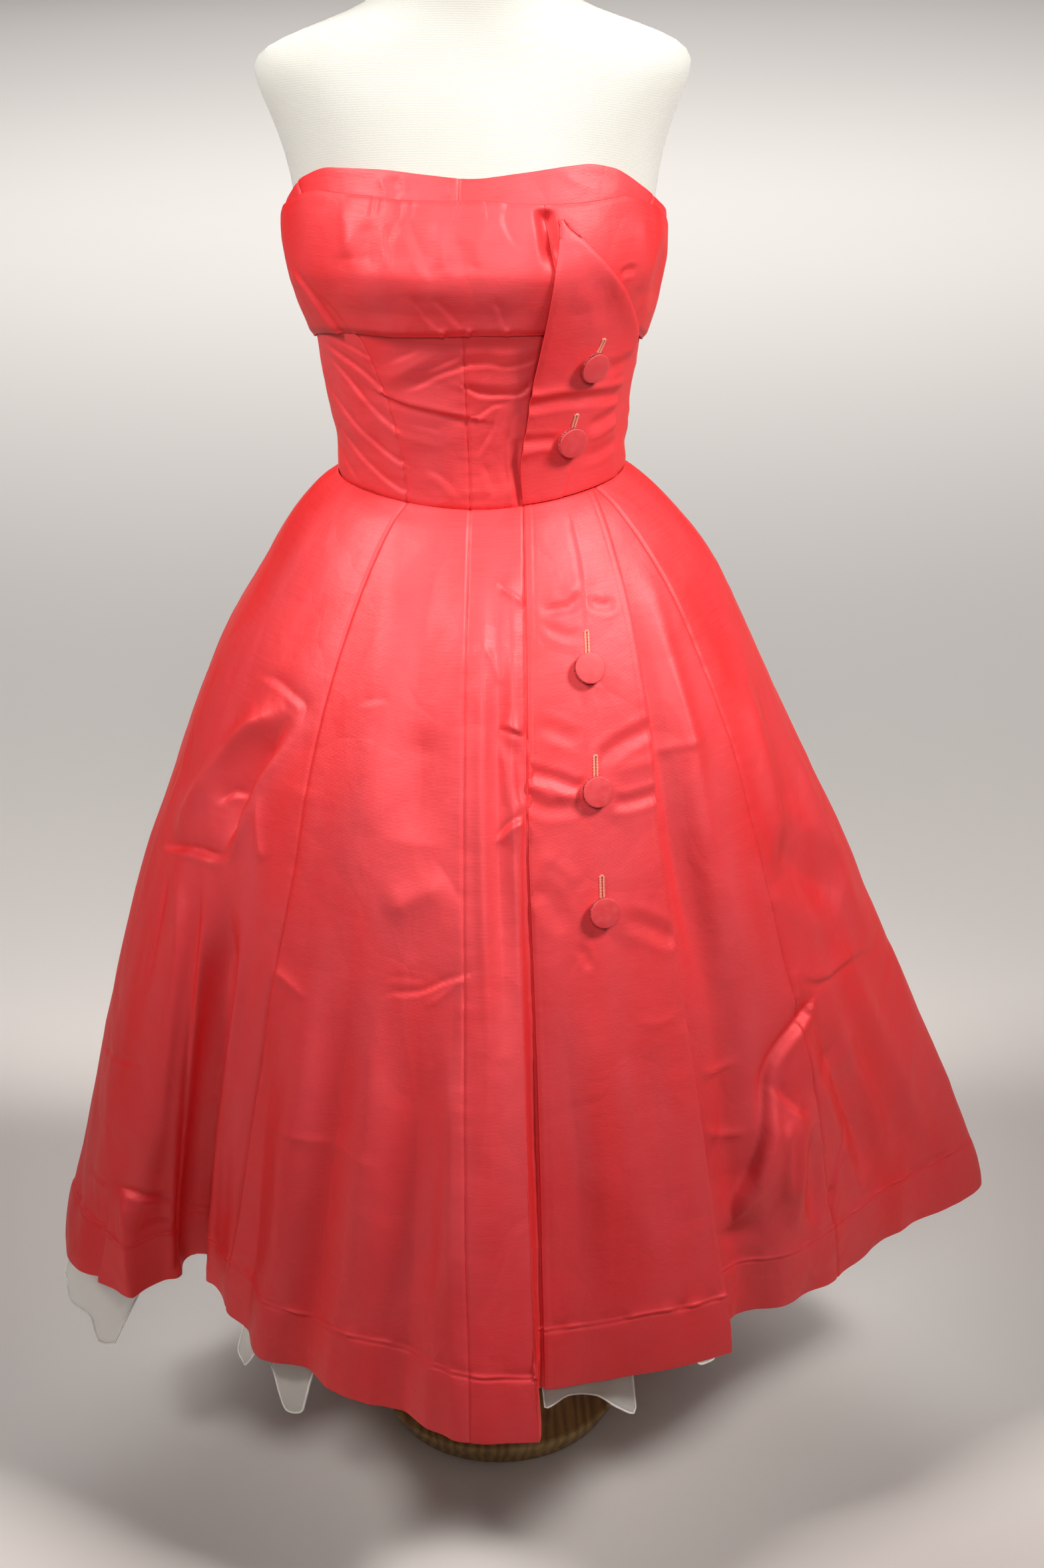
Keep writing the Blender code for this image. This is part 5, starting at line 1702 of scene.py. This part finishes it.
@dataclass
class Bodice:
    """Six fitted panels, the cuff turned back over them, and the tab that rises into a lapel."""

    cloth: Material
    wall: float = 0.0014
    fine: float = 0.0017
    coarse: float = 0.0034
    seam_bow: float = 1.7
    cuff_depth: float = 0.11
    tab_width: float = 0.1
    tab_height: float = 0.225
    panels: tuple[PanelSpan, ...] = (
        PanelSpan("bodice_back_right", -180.0, -95.0, -180.0, -95.0, Cut(0.19, 0.22, 0.033)),
        PanelSpan("bodice_front_side_right", -95.0, -36.0, -95.0, -72.0, Cut(0.12, 0.28, 0.025)),
        PanelSpan("bodice_front_right", -36.0, -5.0, -72.0, -6.0, Cut(0.15, 0.28, 0.025)),
        PanelSpan("bodice_front_centre", -5.0, 38.0, -6.0, 72.0, Cut(0.17, 0.28, 0.031)),
        PanelSpan("bodice_front_side_left", 38.0, 95.0, 72.0, 95.0, Cut(0.11, 0.26, 0.023)),
        PanelSpan("bodice_back_left", 95.0, 180.0, 95.0, 180.0, Cut(0.19, 0.21, 0.032)),
    )
    cuffs: tuple[tuple[str, float, float, Cut, str], ...] = (
        ("bust_cuff_back_right", -180.0, -92.0, Cut(0.2, 0.1, 0.016), "bodice_back_right_cloth"),
        ("bust_cuff_right", -92.0, 26.0, Cut(0.3, 0.12, 0.032), "bodice_front_right_cloth"),
        ("bust_cuff_left", 26.0, 92.0, Cut(0.18, 0.11, 0.018), "bodice_front_side_left_cloth"),
        ("bust_cuff_back_left", 92.0, 180.0, Cut(0.2, 0.1, 0.016), "bodice_back_left_cloth"),
    )
    tab_cut: Cut = Cut(0.1, 0.27, 0.018)
    tab: ClothPanel = field(init=False)

    def build(self) -> None:
        """Builds and declares every panel, the cuff and the tab."""
        creases = CreaseMap(BODICE.at_height, BODICE_CREASES, 1.0)
        for span in self.panels:
            self._panel(span, creases)
        cuff_creases = CreaseMap(BODICE.cuff, CUFF_CREASES, 1.3)
        for cuff in self.cuffs:
            self._cuff(*cuff, cuff_creases)
        self._tab()

    def _panel(self, span: PanelSpan, creases: CreaseMap) -> None:
        """Builds one fitted panel."""
        def surface(u: Array, v: Array) -> Array:
            """The bodice between this panel's two seams."""
            low = span.waist_start + (span.waist_end - span.waist_start) * u
            high = span.top_start + (span.top_end - span.top_start) * u
            return BODICE.at_share(low + (high - low) * np.clip(v, 0.0, 1.0) ** self.seam_bow, v)

        def lift(points: Array, normals: Array, edges: Edges) -> Array:
            """The folds and seams of this panel."""
            slow = Wave((24, 24, 34), 0.6, 61).lift(points)
            crisp = Wave((38, 38, 62), 0.7, 63, crisp=True).lift(points)
            height = points[..., 2] - WAIST_Z
            free = smooth_step(0.15, 0.125, height)
            seams = seam_dip(edges.side, 0.9) + seam_pucker(points, edges.side, 0.5, 0.006)
            ends = seam_dip(edges.top, 1.9, 3.4) + seam_dip(edges.bottom, 0.5, 2.0)
            rough = (slow + crisp) * MILLIMETRE * (0.15 + 0.85 * free)
            return creases.lift(points, normals) + rough + seams + ends + self._under(points, True)

        step = self.fine if "front" in span.node else self.coarse
        us = graded(0.0, 1.0, round(span.cut.width / step), span.cut.width)
        vs = graded(-0.01, 1.0, round(span.cut.length / step), span.cut.length)
        panel = ClothPanel(f"{span.node}_cloth", surface, us, vs, self.wall, lift)
        declare_cloth(panel.build(self.cloth), "taffeta", span.cut, "stretched", "form_torso_padded")

    @staticmethod
    def _under(points: Array, cuff: bool) -> Array:
        """Draws cloth in where an upper layer hides it: the tab, and for the panels the cuff too.

        Args:
            points: Points of the cloth, before its folds.
            cuff: Whether the cuff lies over this cloth.

        Returns:
            One distance in metres for each point.
        """
        azimuth = azimuth_of(points)
        height = points[..., 2] - WAIST_Z
        inner, outer = (read_rows(TAB_ROWS, "height", name, height) for name in ("inner", "outer"))
        hidden = smooth_step(0.5, 3.5, azimuth - inner) * smooth_step(-0.6, 1.6, outer - azimuth)
        hidden = hidden * smooth_step(0.0, 0.012, height) * (1 - smooth_step(0.218, 0.226, height))
        if cuff:
            low, high = read_line(CUFF_BOTTOM, azimuth), read_line(CUFF_TOP, azimuth)
            covered = smooth_step(0.002, 0.012, height - low) * smooth_step(0.002, 0.01, high - height)
            hidden = np.maximum(hidden, covered)
        deeper = 2.6 * np.exp(-((azimuth - 25) / 8) ** 2) * smooth_step(0.15, 0.18, height) if cuff else 0.0
        return -(3.2 + deeper) * MILLIMETRE * hidden

    def _cuff(self, node: str, start: float, end: float, cut: Cut, under: str, creases: CreaseMap) -> None:
        """Builds one piece of the turned-back cuff, over the panel that it lies on."""
        def lift(points: Array, normals: Array, edges: Edges) -> Array:
            """The folds and rolled edges of this piece of the cuff."""
            slow = Wave((26, 26, 12), 0.7, 81).lift(points)
            crisp = Wave((34, 34, 30), 0.8, 83, crisp=True).lift(points)
            rolled = seam_dip(edges.top, 1.0, 2.4) + seam_dip(edges.bottom, 2.6, 4.0) + seam_dip(edges.side, 0.3, 1.0)
            azimuth = azimuth_of(points)
            share = np.clip(edges.top / (edges.top + edges.bottom), 0.0, 1.0)
            slot = smooth_step(20.5, 25.6, azimuth) * (1 - smooth_step(26.4, 30.0, azimuth))
            slot = slot * smooth_step(0.02, 0.09, share) * (1 - smooth_step(0.3, 0.52, share)) * -8.0 * MILLIMETRE
            rough = (slow + crisp) * MILLIMETRE
            return creases.lift(points, normals) + rough + rolled + np.minimum(slot, self._under(points, False))

        step = self.coarse if "back" in node else self.fine
        us = graded(start, end, round(cut.width / step), cut.width)
        vs = graded(0.0, 1.0, round(self.cuff_depth / step), self.cuff_depth)
        panel = ClothPanel(f"{node}_cloth", BODICE.cuff, us, vs, self.wall, lift)
        declare_cloth(panel.build(self.cloth), "taffeta", cut, "folded", under)

    def _tab(self) -> None:
        """Builds the tab and its lapel."""
        creases = CreaseMap(tab_point, TAB_CREASES, across=0.001)

        def lift(points: Array, normals: Array, edges: Edges) -> Array:
            """The folds and rolled edges of the tab, and the lapel's curl."""
            slow = Wave((20, 20, 14), 0.5, 91).lift(points)
            rolled = seam_dip(edges.side, 0.8, 2.4) + seam_dip(edges.top, 0.5) + seam_dip(edges.bottom, 0.5)
            height = points[..., 2] - WAIST_Z
            curl = 2.4 * np.exp(-(edges.end / 0.016) ** 2) + 1.2 * np.exp(-(edges.start / 0.012) ** 2)
            curl = curl * smooth_step(0.085, 0.13, height) * (1 - smooth_step(0.205, 0.225, height))
            return creases.lift(points, normals) + (slow + curl) * MILLIMETRE + rolled

        us = graded(0.0, 1.0, 56, self.tab_width)
        vs = graded(0.001, self.tab_height, 126, self.tab_height)
        self.tab = ClothPanel("button_tab_cloth", tab_point, us, vs, self.wall, lift)
        piece = self.tab.build(self.cloth)
        declare_cloth(piece, "taffeta", self.tab_cut, "folded", "bodice_front_centre_cloth")


# ---------------------------------------------------------------- buttons


@dataclass(frozen=True)
class ButtonPlace:
    """Where a button sits on its panel, and the far end of its buttonhole."""

    panel: str
    across: float
    down: float
    hole_across: float
    hole_down: float


@dataclass
class Buttons:
    """Five flat covered buttons with their worked buttonholes."""

    cover: Material
    thread: Material
    radius: float = 0.0125
    thickness: float = 0.0042
    shank_radius: float = 0.003
    shank_length: float = 0.0024
    shank_gap: float = 0.0008
    hole_half_width: float = 0.0013
    thread_radius: float = 0.0009
    places: tuple[ButtonPlace, ...] = (
        ButtonPlace("tab", 0.515, 0.1086, 0.585, 0.1285), ButtonPlace("tab", 0.45, 0.047, 0.488, 0.068),
        ButtonPlace("placket", 0.52, 0.1588, 0.545, 0.122), ButtonPlace("placket", 0.515, 0.2844, 0.527, 0.247),
        ButtonPlace("placket", 0.505, 0.4173, 0.525, 0.378),
    )

    def build(self, tab: ClothPanel, placket: ClothPanel) -> None:
        """Builds each button and its buttonhole on the cloth it fastens.

        Args:
            tab: The finished lapel tab.
            placket: The finished placket.
        """
        for number, place in enumerate(self.places, 1):
            panel = tab if place.panel == "tab" else placket
            declare(self._button(number, place), "button", f"button_{number}")
            declare(self._buttonhole(number, place, panel), "button")

    def _button(self, number: int, place: ButtonPlace) -> Piece:
        """A covered button: a disc with a rounded rim, a slightly crowned top and a cloth shank."""
        surface = tab_point if place.panel == "tab" else PLACKET.point
        u, v = np.array(place.across), np.array(place.down)
        out = Vector(normal_of(surface, u, v, 0.02))
        seat = Vector(surface(u, v)) + out * self.shank_gap
        bpy.ops.object.select_all(action="DESELECT")
        bpy.ops.mesh.primitive_cylinder_add(vertices=64, radius=self.radius, depth=self.thickness,
                                            end_fill_type="NGON")
        button = bpy.context.active_object
        button.name = f"covered_button_{number}"
        button.data.name = button.name
        bpy.ops.object.mode_set(mode="EDIT")
        bpy.ops.mesh.select_mode(type="EDGE")
        bpy.ops.mesh.select_all(action="SELECT")
        bpy.ops.mesh.bevel(offset=self.thickness * 0.3, segments=4, profile=0.6, affect="EDGES")
        self._crown(button)
        self._shank(button)
        bpy.ops.object.mode_set(mode="OBJECT")
        middle = self.shank_length + self.thickness / 2
        button.data.transform(Matrix.Translation((0.0, 0.0, middle)))
        button.data.transform(Matrix.Translation(seat) @ out.to_track_quat("Z", "Y").to_matrix().to_4x4())
        button.data.shade_smooth()
        button.data.materials.append(self.cover)
        return button

    def _crown(self, button: Piece) -> None:
        """Insets the top in rings and raises them into a low crown."""
        select_faces(button, lambda f: f.normal.z > 0.99 and len(f.vertices) > 8)
        for thickness, rise in ((0.0015, 0.00022), (0.003, 0.0002), (0.004, 0.00008)):
            bpy.ops.mesh.inset(thickness=thickness)
            bpy.ops.transform.translate(value=(0.0, 0.0, rise))

    def _shank(self, button: Piece) -> None:
        """Draws the cloth shank out of the button's back."""
        select_faces(button, lambda f: f.normal.z < -0.99 and len(f.vertices) > 8)
        bpy.ops.mesh.inset(thickness=self.radius - self.thickness * 0.3 - self.shank_radius)
        bpy.ops.mesh.extrude_region_move(TRANSFORM_OT_translate={"value": (0.0, 0.0, -self.shank_length)})

    def _buttonhole(self, number: int, place: ButtonPlace, panel: ClothPanel) -> Piece:
        """Worked stitches round a slot: a long ring of thread laid on the cloth."""
        near, _ = panel.at(place.across, place.down)
        far, normal = panel.at(place.hole_across, place.hole_down)
        along = unit(far - near)
        side = unit(np.cross(normal, along))
        length = float(np.linalg.norm(far - near))
        turns = np.linspace(0.0, 2 * math.pi, 96, endpoint=False)
        lengthwise = length / 2 + np.clip(np.cos(turns) * 1.35, -1, 1) * length / 2
        sideways = np.clip(np.sin(turns) * 1.9, -1, 1) * self.hole_half_width
        path = []
        for share, off in zip(lengthwise / length, sideways):
            u = place.across + (place.hole_across - place.across) * share
            v = place.down + (place.hole_down - place.down) * share
            point, facing = panel.at(u, v)
            path.append(point + side * off + facing * self.thread_radius * 0.45)
        stitches = self.thread_radius * (1 + 0.22 * np.cos(np.arange(96) * math.pi))
        return cord_along(f"buttonhole_{number}", np.array(path), stitches, self.thread, closed=True)


def select_faces(piece: Piece, wanted: Callable[[bpy.types.MeshPolygon], bool]) -> None:
    """Selects the faces of a mesh in edit mode that pass a test, and no others."""
    bpy.ops.mesh.select_mode(type="FACE")
    bpy.ops.mesh.select_all(action="DESELECT")
    bpy.ops.object.mode_set(mode="OBJECT")
    for face in piece.data.polygons:
        face.select = wanted(face)
    bpy.ops.object.mode_set(mode="EDIT")


# ---------------------------------------------------------------- form and stand


def draw_up(name: str, sections: Sequence[Section], columns: int, bottom: float = 0.0) -> Piece:
    """Draws a solid up from its underside, section by section, and leaves it in edit mode.

    Args:
        name: The object's name.
        sections: Its level sections, from the underside up.
        columns: How many faces go round it.
        bottom: Height from which the sections count.

    Returns:
        The object.
    """
    bpy.ops.object.select_all(action="DESELECT")
    bpy.ops.mesh.primitive_circle_add(vertices=columns, radius=1.0, fill_type="NGON",
                                      location=(0.0, 0.0, bottom + sections[0].height))
    made = bpy.context.active_object
    made.name = name
    made.data.name = name
    bpy.ops.object.transform_apply(location=True, rotation=True, scale=True)
    bpy.ops.object.mode_set(mode="EDIT")
    bpy.ops.mesh.select_all(action="SELECT")
    resize_ring((1.0, 1.0, 0.0, 0.0), sections[0])
    for before, after in zip(sections, sections[1:]):
        bpy.ops.mesh.extrude_region_move(TRANSFORM_OT_translate={"value": (0.0, 0.0, after.height - before.height)})
        resize_ring(ring_size(before), after)
    return made


def ring_size(section: Section) -> tuple[float, float, float, float]:
    """Half width, half depth and the middle of a section."""
    return ((section.left + section.right) / 2, (section.front + section.back) / 2,
            (section.left - section.right) / 2, (section.back - section.front) / 2)


def resize_ring(now: tuple[float, float, float, float], wanted: Section) -> None:
    """Turns the selected ring from one size and place into a section's."""
    width, depth, x, y = ring_size(wanted)
    bpy.ops.transform.resize(value=(width / now[0], depth / now[1], 1.0), center_override=(now[2], now[3], 0.0))
    bpy.ops.transform.translate(value=(x - now[2], y - now[3], 0.0))


def turned(*cuts: Place) -> tuple[Section, ...]:
    """Round sections, from the radius and the height of each cut of the lathe."""
    return tuple(Section(height, radius, radius, radius, radius) for radius, height in cuts)


def make_outward() -> None:
    """Turns all faces of the solid in edit mode outwards, and leaves edit mode."""
    bpy.ops.mesh.select_all(action="SELECT")
    bpy.ops.mesh.normals_make_consistent(inside=False)
    bpy.ops.object.mode_set(mode="OBJECT")


@dataclass
class DressForm:
    """The padded torso with a closed neck, smooth and limbless."""

    jersey: Material
    columns: int = 96
    neck_rings: tuple[Place, ...] = ((0.006, 0.0012), (0.016, 0.0006))
    sections: tuple[Section, ...] = (
        Section(-0.215, 0.12, 0.12, 0.08, 0.095), Section(-0.2, 0.132, 0.132, 0.092, 0.108),
        Section(-0.14, 0.14, 0.14, 0.1, 0.118), Section(-0.08, 0.134, 0.134, 0.097, 0.11),
        Section(-0.03, 0.116, 0.116, 0.09, 0.092), Section(0.000, 0.112, 0.112, 0.088, 0.086),
        Section(0.06, 0.115, 0.115, 0.091, 0.089), Section(0.12, 0.123, 0.123, 0.101, 0.093),
        Section(0.185, 0.139, 0.139, 0.113, 0.0965), Section(0.225, 0.1425, 0.1425, 0.106, 0.096),
        Section(0.26, 0.148, 0.148, 0.094, 0.094), Section(0.295, 0.161, 0.161, 0.083, 0.088),
        Section(0.32, 0.172, 0.172, 0.074, 0.081), Section(0.335, 0.17, 0.17, 0.068, 0.076),
        Section(0.347, 0.15, 0.15, 0.064, 0.072), Section(0.36, 0.113, 0.113, 0.06, 0.067),
        Section(0.372, 0.08, 0.08, 0.057, 0.062), Section(0.39, 0.064, 0.064, 0.055, 0.059),
        Section(0.42, 0.057, 0.057, 0.053, 0.056), Section(0.447, 0.055, 0.055, 0.052, 0.054),
        Section(0.455, 0.05, 0.05, 0.047, 0.049),
    )

    def build(self) -> None:
        """Draws the torso up, closes it softly at both ends, and smooths it."""
        form = draw_up("form_torso_padded", self.sections, self.columns, WAIST_Z)
        for thickness, rise in self.neck_rings:
            bpy.ops.mesh.inset(thickness=thickness)
            bpy.ops.transform.translate(value=(0.0, 0.0, rise))
        select_faces(form, lambda f: f.normal.z < -0.99 and len(f.vertices) > 8)
        bpy.ops.mesh.inset(thickness=0.004)
        make_outward()
        smoothing = form.modifiers.new("smoothing", "SUBSURF")
        smoothing.levels = smoothing.render_levels = 1
        bpy.ops.object.modifier_apply(modifier=smoothing.name)
        form.data.shade_smooth()
        form.data.materials.append(self.jersey)
        declare(form, "jersey", "form_torso")


@dataclass
class Stand:
    """The turned wooden base and the steel pole that carries the form."""

    wood: Material
    steel: Material
    base: tuple[Section, ...] = turned(
        (0.102, 0.0), (0.104, 0.0018), (0.1085, 0.01), (0.1128, 0.0172), (0.1142, 0.0192), (0.115, 0.0218),
        (0.1142, 0.0248), (0.1118, 0.0266), (0.1098, 0.0262), (0.108, 0.027), (0.07, 0.0276), (0.03, 0.0278),
    )
    pole: tuple[Section, ...] = turned(
        (0.0135, 0.0283), (0.014, 0.029), (0.014, 0.042), (0.0132, 0.044), (0.0132, 0.36), (0.0139, 0.362),
        (0.0139, 0.39), (0.0132, 0.392), (0.0132, 0.7), (0.014, 0.702), (0.014, 0.7197),
    )

    def build(self) -> None:
        declare(self._turn("turned_base", self.base, 128, 0.0006, self.wood), "wood", "stand_base")
        declare(self._turn("stand_column", self.pole, 48, 0.0004, self.steel), "pole", "stand_pole")

    @staticmethod
    def _turn(name: str, cuts: Sequence[Section], columns: int, bevel: float, finish: Material) -> Piece:
        """Turns a solid round the axis.

        Args:
            name: The object's name.
            cuts: Its sections, from the underside up.
            columns: How many faces go round it.
            bevel: Width of the softening on its sharp edges.
            finish: Its material.

        Returns:
            The finished object.
        """
        made = draw_up(name, cuts, columns)
        make_outward()
        soft = made.modifiers.new("softened", "BEVEL")
        soft.width, soft.segments, soft.limit_method, soft.angle_limit = bevel, 3, "ANGLE", math.radians(25)
        bpy.ops.object.modifier_apply(modifier=soft.name)
        bpy.ops.object.select_all(action="DESELECT")
        made.select_set(True)
        bpy.ops.object.shade_smooth_by_angle(angle=math.radians(35))
        made.data.materials.append(finish)
        return made


# ---------------------------------------------------------------- studio


@dataclass(frozen=True)
class SoftBox:
    """A square area light: where it stands, what it is aimed at, its side, its power and its spread."""

    name: str
    place: tuple[float, float, float]
    aim: tuple[float, float, float]
    side: float
    power: float
    spread: float
    colour: Colour = (1.0, 1.0, 1.0)


@dataclass
class Studio:
    """A pale floor, soft lights from above the front, and the camera."""

    floor: Material
    lights: tuple[SoftBox, ...] = (
        SoftBox("right_key", (-1.6, -0.9, 2.75), (-0.05, -0.1, 1.06), 0.6, 5.0, 0.8, (1.0, 0.98, 0.96)),
        SoftBox("left_key", (1.6, -0.8, 2.6), (0.1, -0.1, 0.98), 0.6, 6.4, 0.82, (1.0, 0.98, 0.96)),
        SoftBox("front_fill", (0.1, -2.3, 2.15), (0.0, -0.1, 1.08), 0.7, 2.3, 0.75, (1.0, 0.98, 0.96)),
        SoftBox("floor_wash", (0.0, 5.5, 5.5), (0.0, 4.5, 0.0), 5.0, 180.0, 2.6),
        SoftBox("backdrop", (0.0, 11.0, 5.0), (0.0, 11.01, 0.0), 12.0, 340.0, 2.2),
    )
    camera_place: tuple[float, float, float] = (0.0297, -1.965, 1.485)
    camera_pitch: float = 23.0
    camera_roll: float = -0.0157
    lens: float = 55.9

    def build(self) -> None:
        """Builds the floor, the lights, the world and the camera."""
        self._floor()
        for box in self.lights:
            self._light(box)
        self._world()
        self._camera()

    def _floor(self) -> None:
        """A wide floor at the stand's foot."""
        bpy.ops.object.select_all(action="DESELECT")
        bpy.ops.mesh.primitive_plane_add(size=60.0, location=(0.0, 0.0, 0.0))
        floor = bpy.context.active_object
        floor.name = "studio_floor"
        floor.data.materials.append(self.floor)

    @staticmethod
    def _light(box: SoftBox) -> None:
        """Hangs one soft box."""
        data = bpy.data.lights.new(box.name, "AREA")
        data.shape, data.size, data.energy, data.color = "SQUARE", box.side, box.power, box.colour
        data.spread = box.spread
        made = bpy.data.objects.new(box.name, data)
        bpy.context.collection.objects.link(made)
        made.location = box.place
        aim = Vector(box.aim) - Vector(box.place)
        made.rotation_mode = "QUATERNION"
        made.rotation_quaternion = aim.to_track_quat("-Z", "Y")

    @staticmethod
    def _world() -> None:
        """An even, weak light from all round, and colours shown as they are."""
        world = bpy.data.worlds.new("studio")
        world.use_nodes = True
        background = world.node_tree.nodes["Background"]
        background.inputs["Color"].default_value = (1.0, 0.98, 0.97, 1.0)
        background.inputs["Strength"].default_value = 0.04
        bpy.context.scene.world = world
        bpy.context.scene.view_settings.view_transform = "Standard"

    def _camera(self) -> None:
        """The camera, which looks down at the dress from in front."""
        data = bpy.data.cameras.new("camera")
        data.lens, data.sensor_width, data.sensor_fit = self.lens, 36.0, "AUTO"
        camera = bpy.data.objects.new("camera", data)
        bpy.context.collection.objects.link(camera)
        pitch = Matrix.Rotation(math.radians(90.0 - self.camera_pitch), 4, "X")
        turn = pitch @ Matrix.Rotation(self.camera_roll, 4, "Z")
        camera.matrix_world = Matrix.Translation(self.camera_place) @ turn
        bpy.context.scene.camera = camera


def main() -> None:
    """Builds the dress, its form and the studio."""
    logging.basicConfig(level=logging.INFO, format="%(message)s")
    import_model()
    taffeta = ShotTaffeta().make()
    thread = Thread("buttonhole_twist", (0.8, 0.3, 0.2), (0.62, 0.17, 0.11)).make()
    edging = Thread("organza_rolled_edge", (0.95, 0.94, 0.9), (0.82, 0.8, 0.73), 500.0).make()
    DressForm(FormJersey().make()).build()
    Stand(TurnedWood().make(), BrushedSteel().make()).build()
    Underskirt(SilkOrganza().make(), edging).build()
    skirt = Skirt(taffeta)
    skirt.build()
    bodice = Bodice(taffeta)
    bodice.build()
    Buttons(CoveredButton().make(), thread).build(bodice.tab, skirt.placket)
    Studio(PaleFloor().make()).build()


if __name__ == "__main__":
    main()
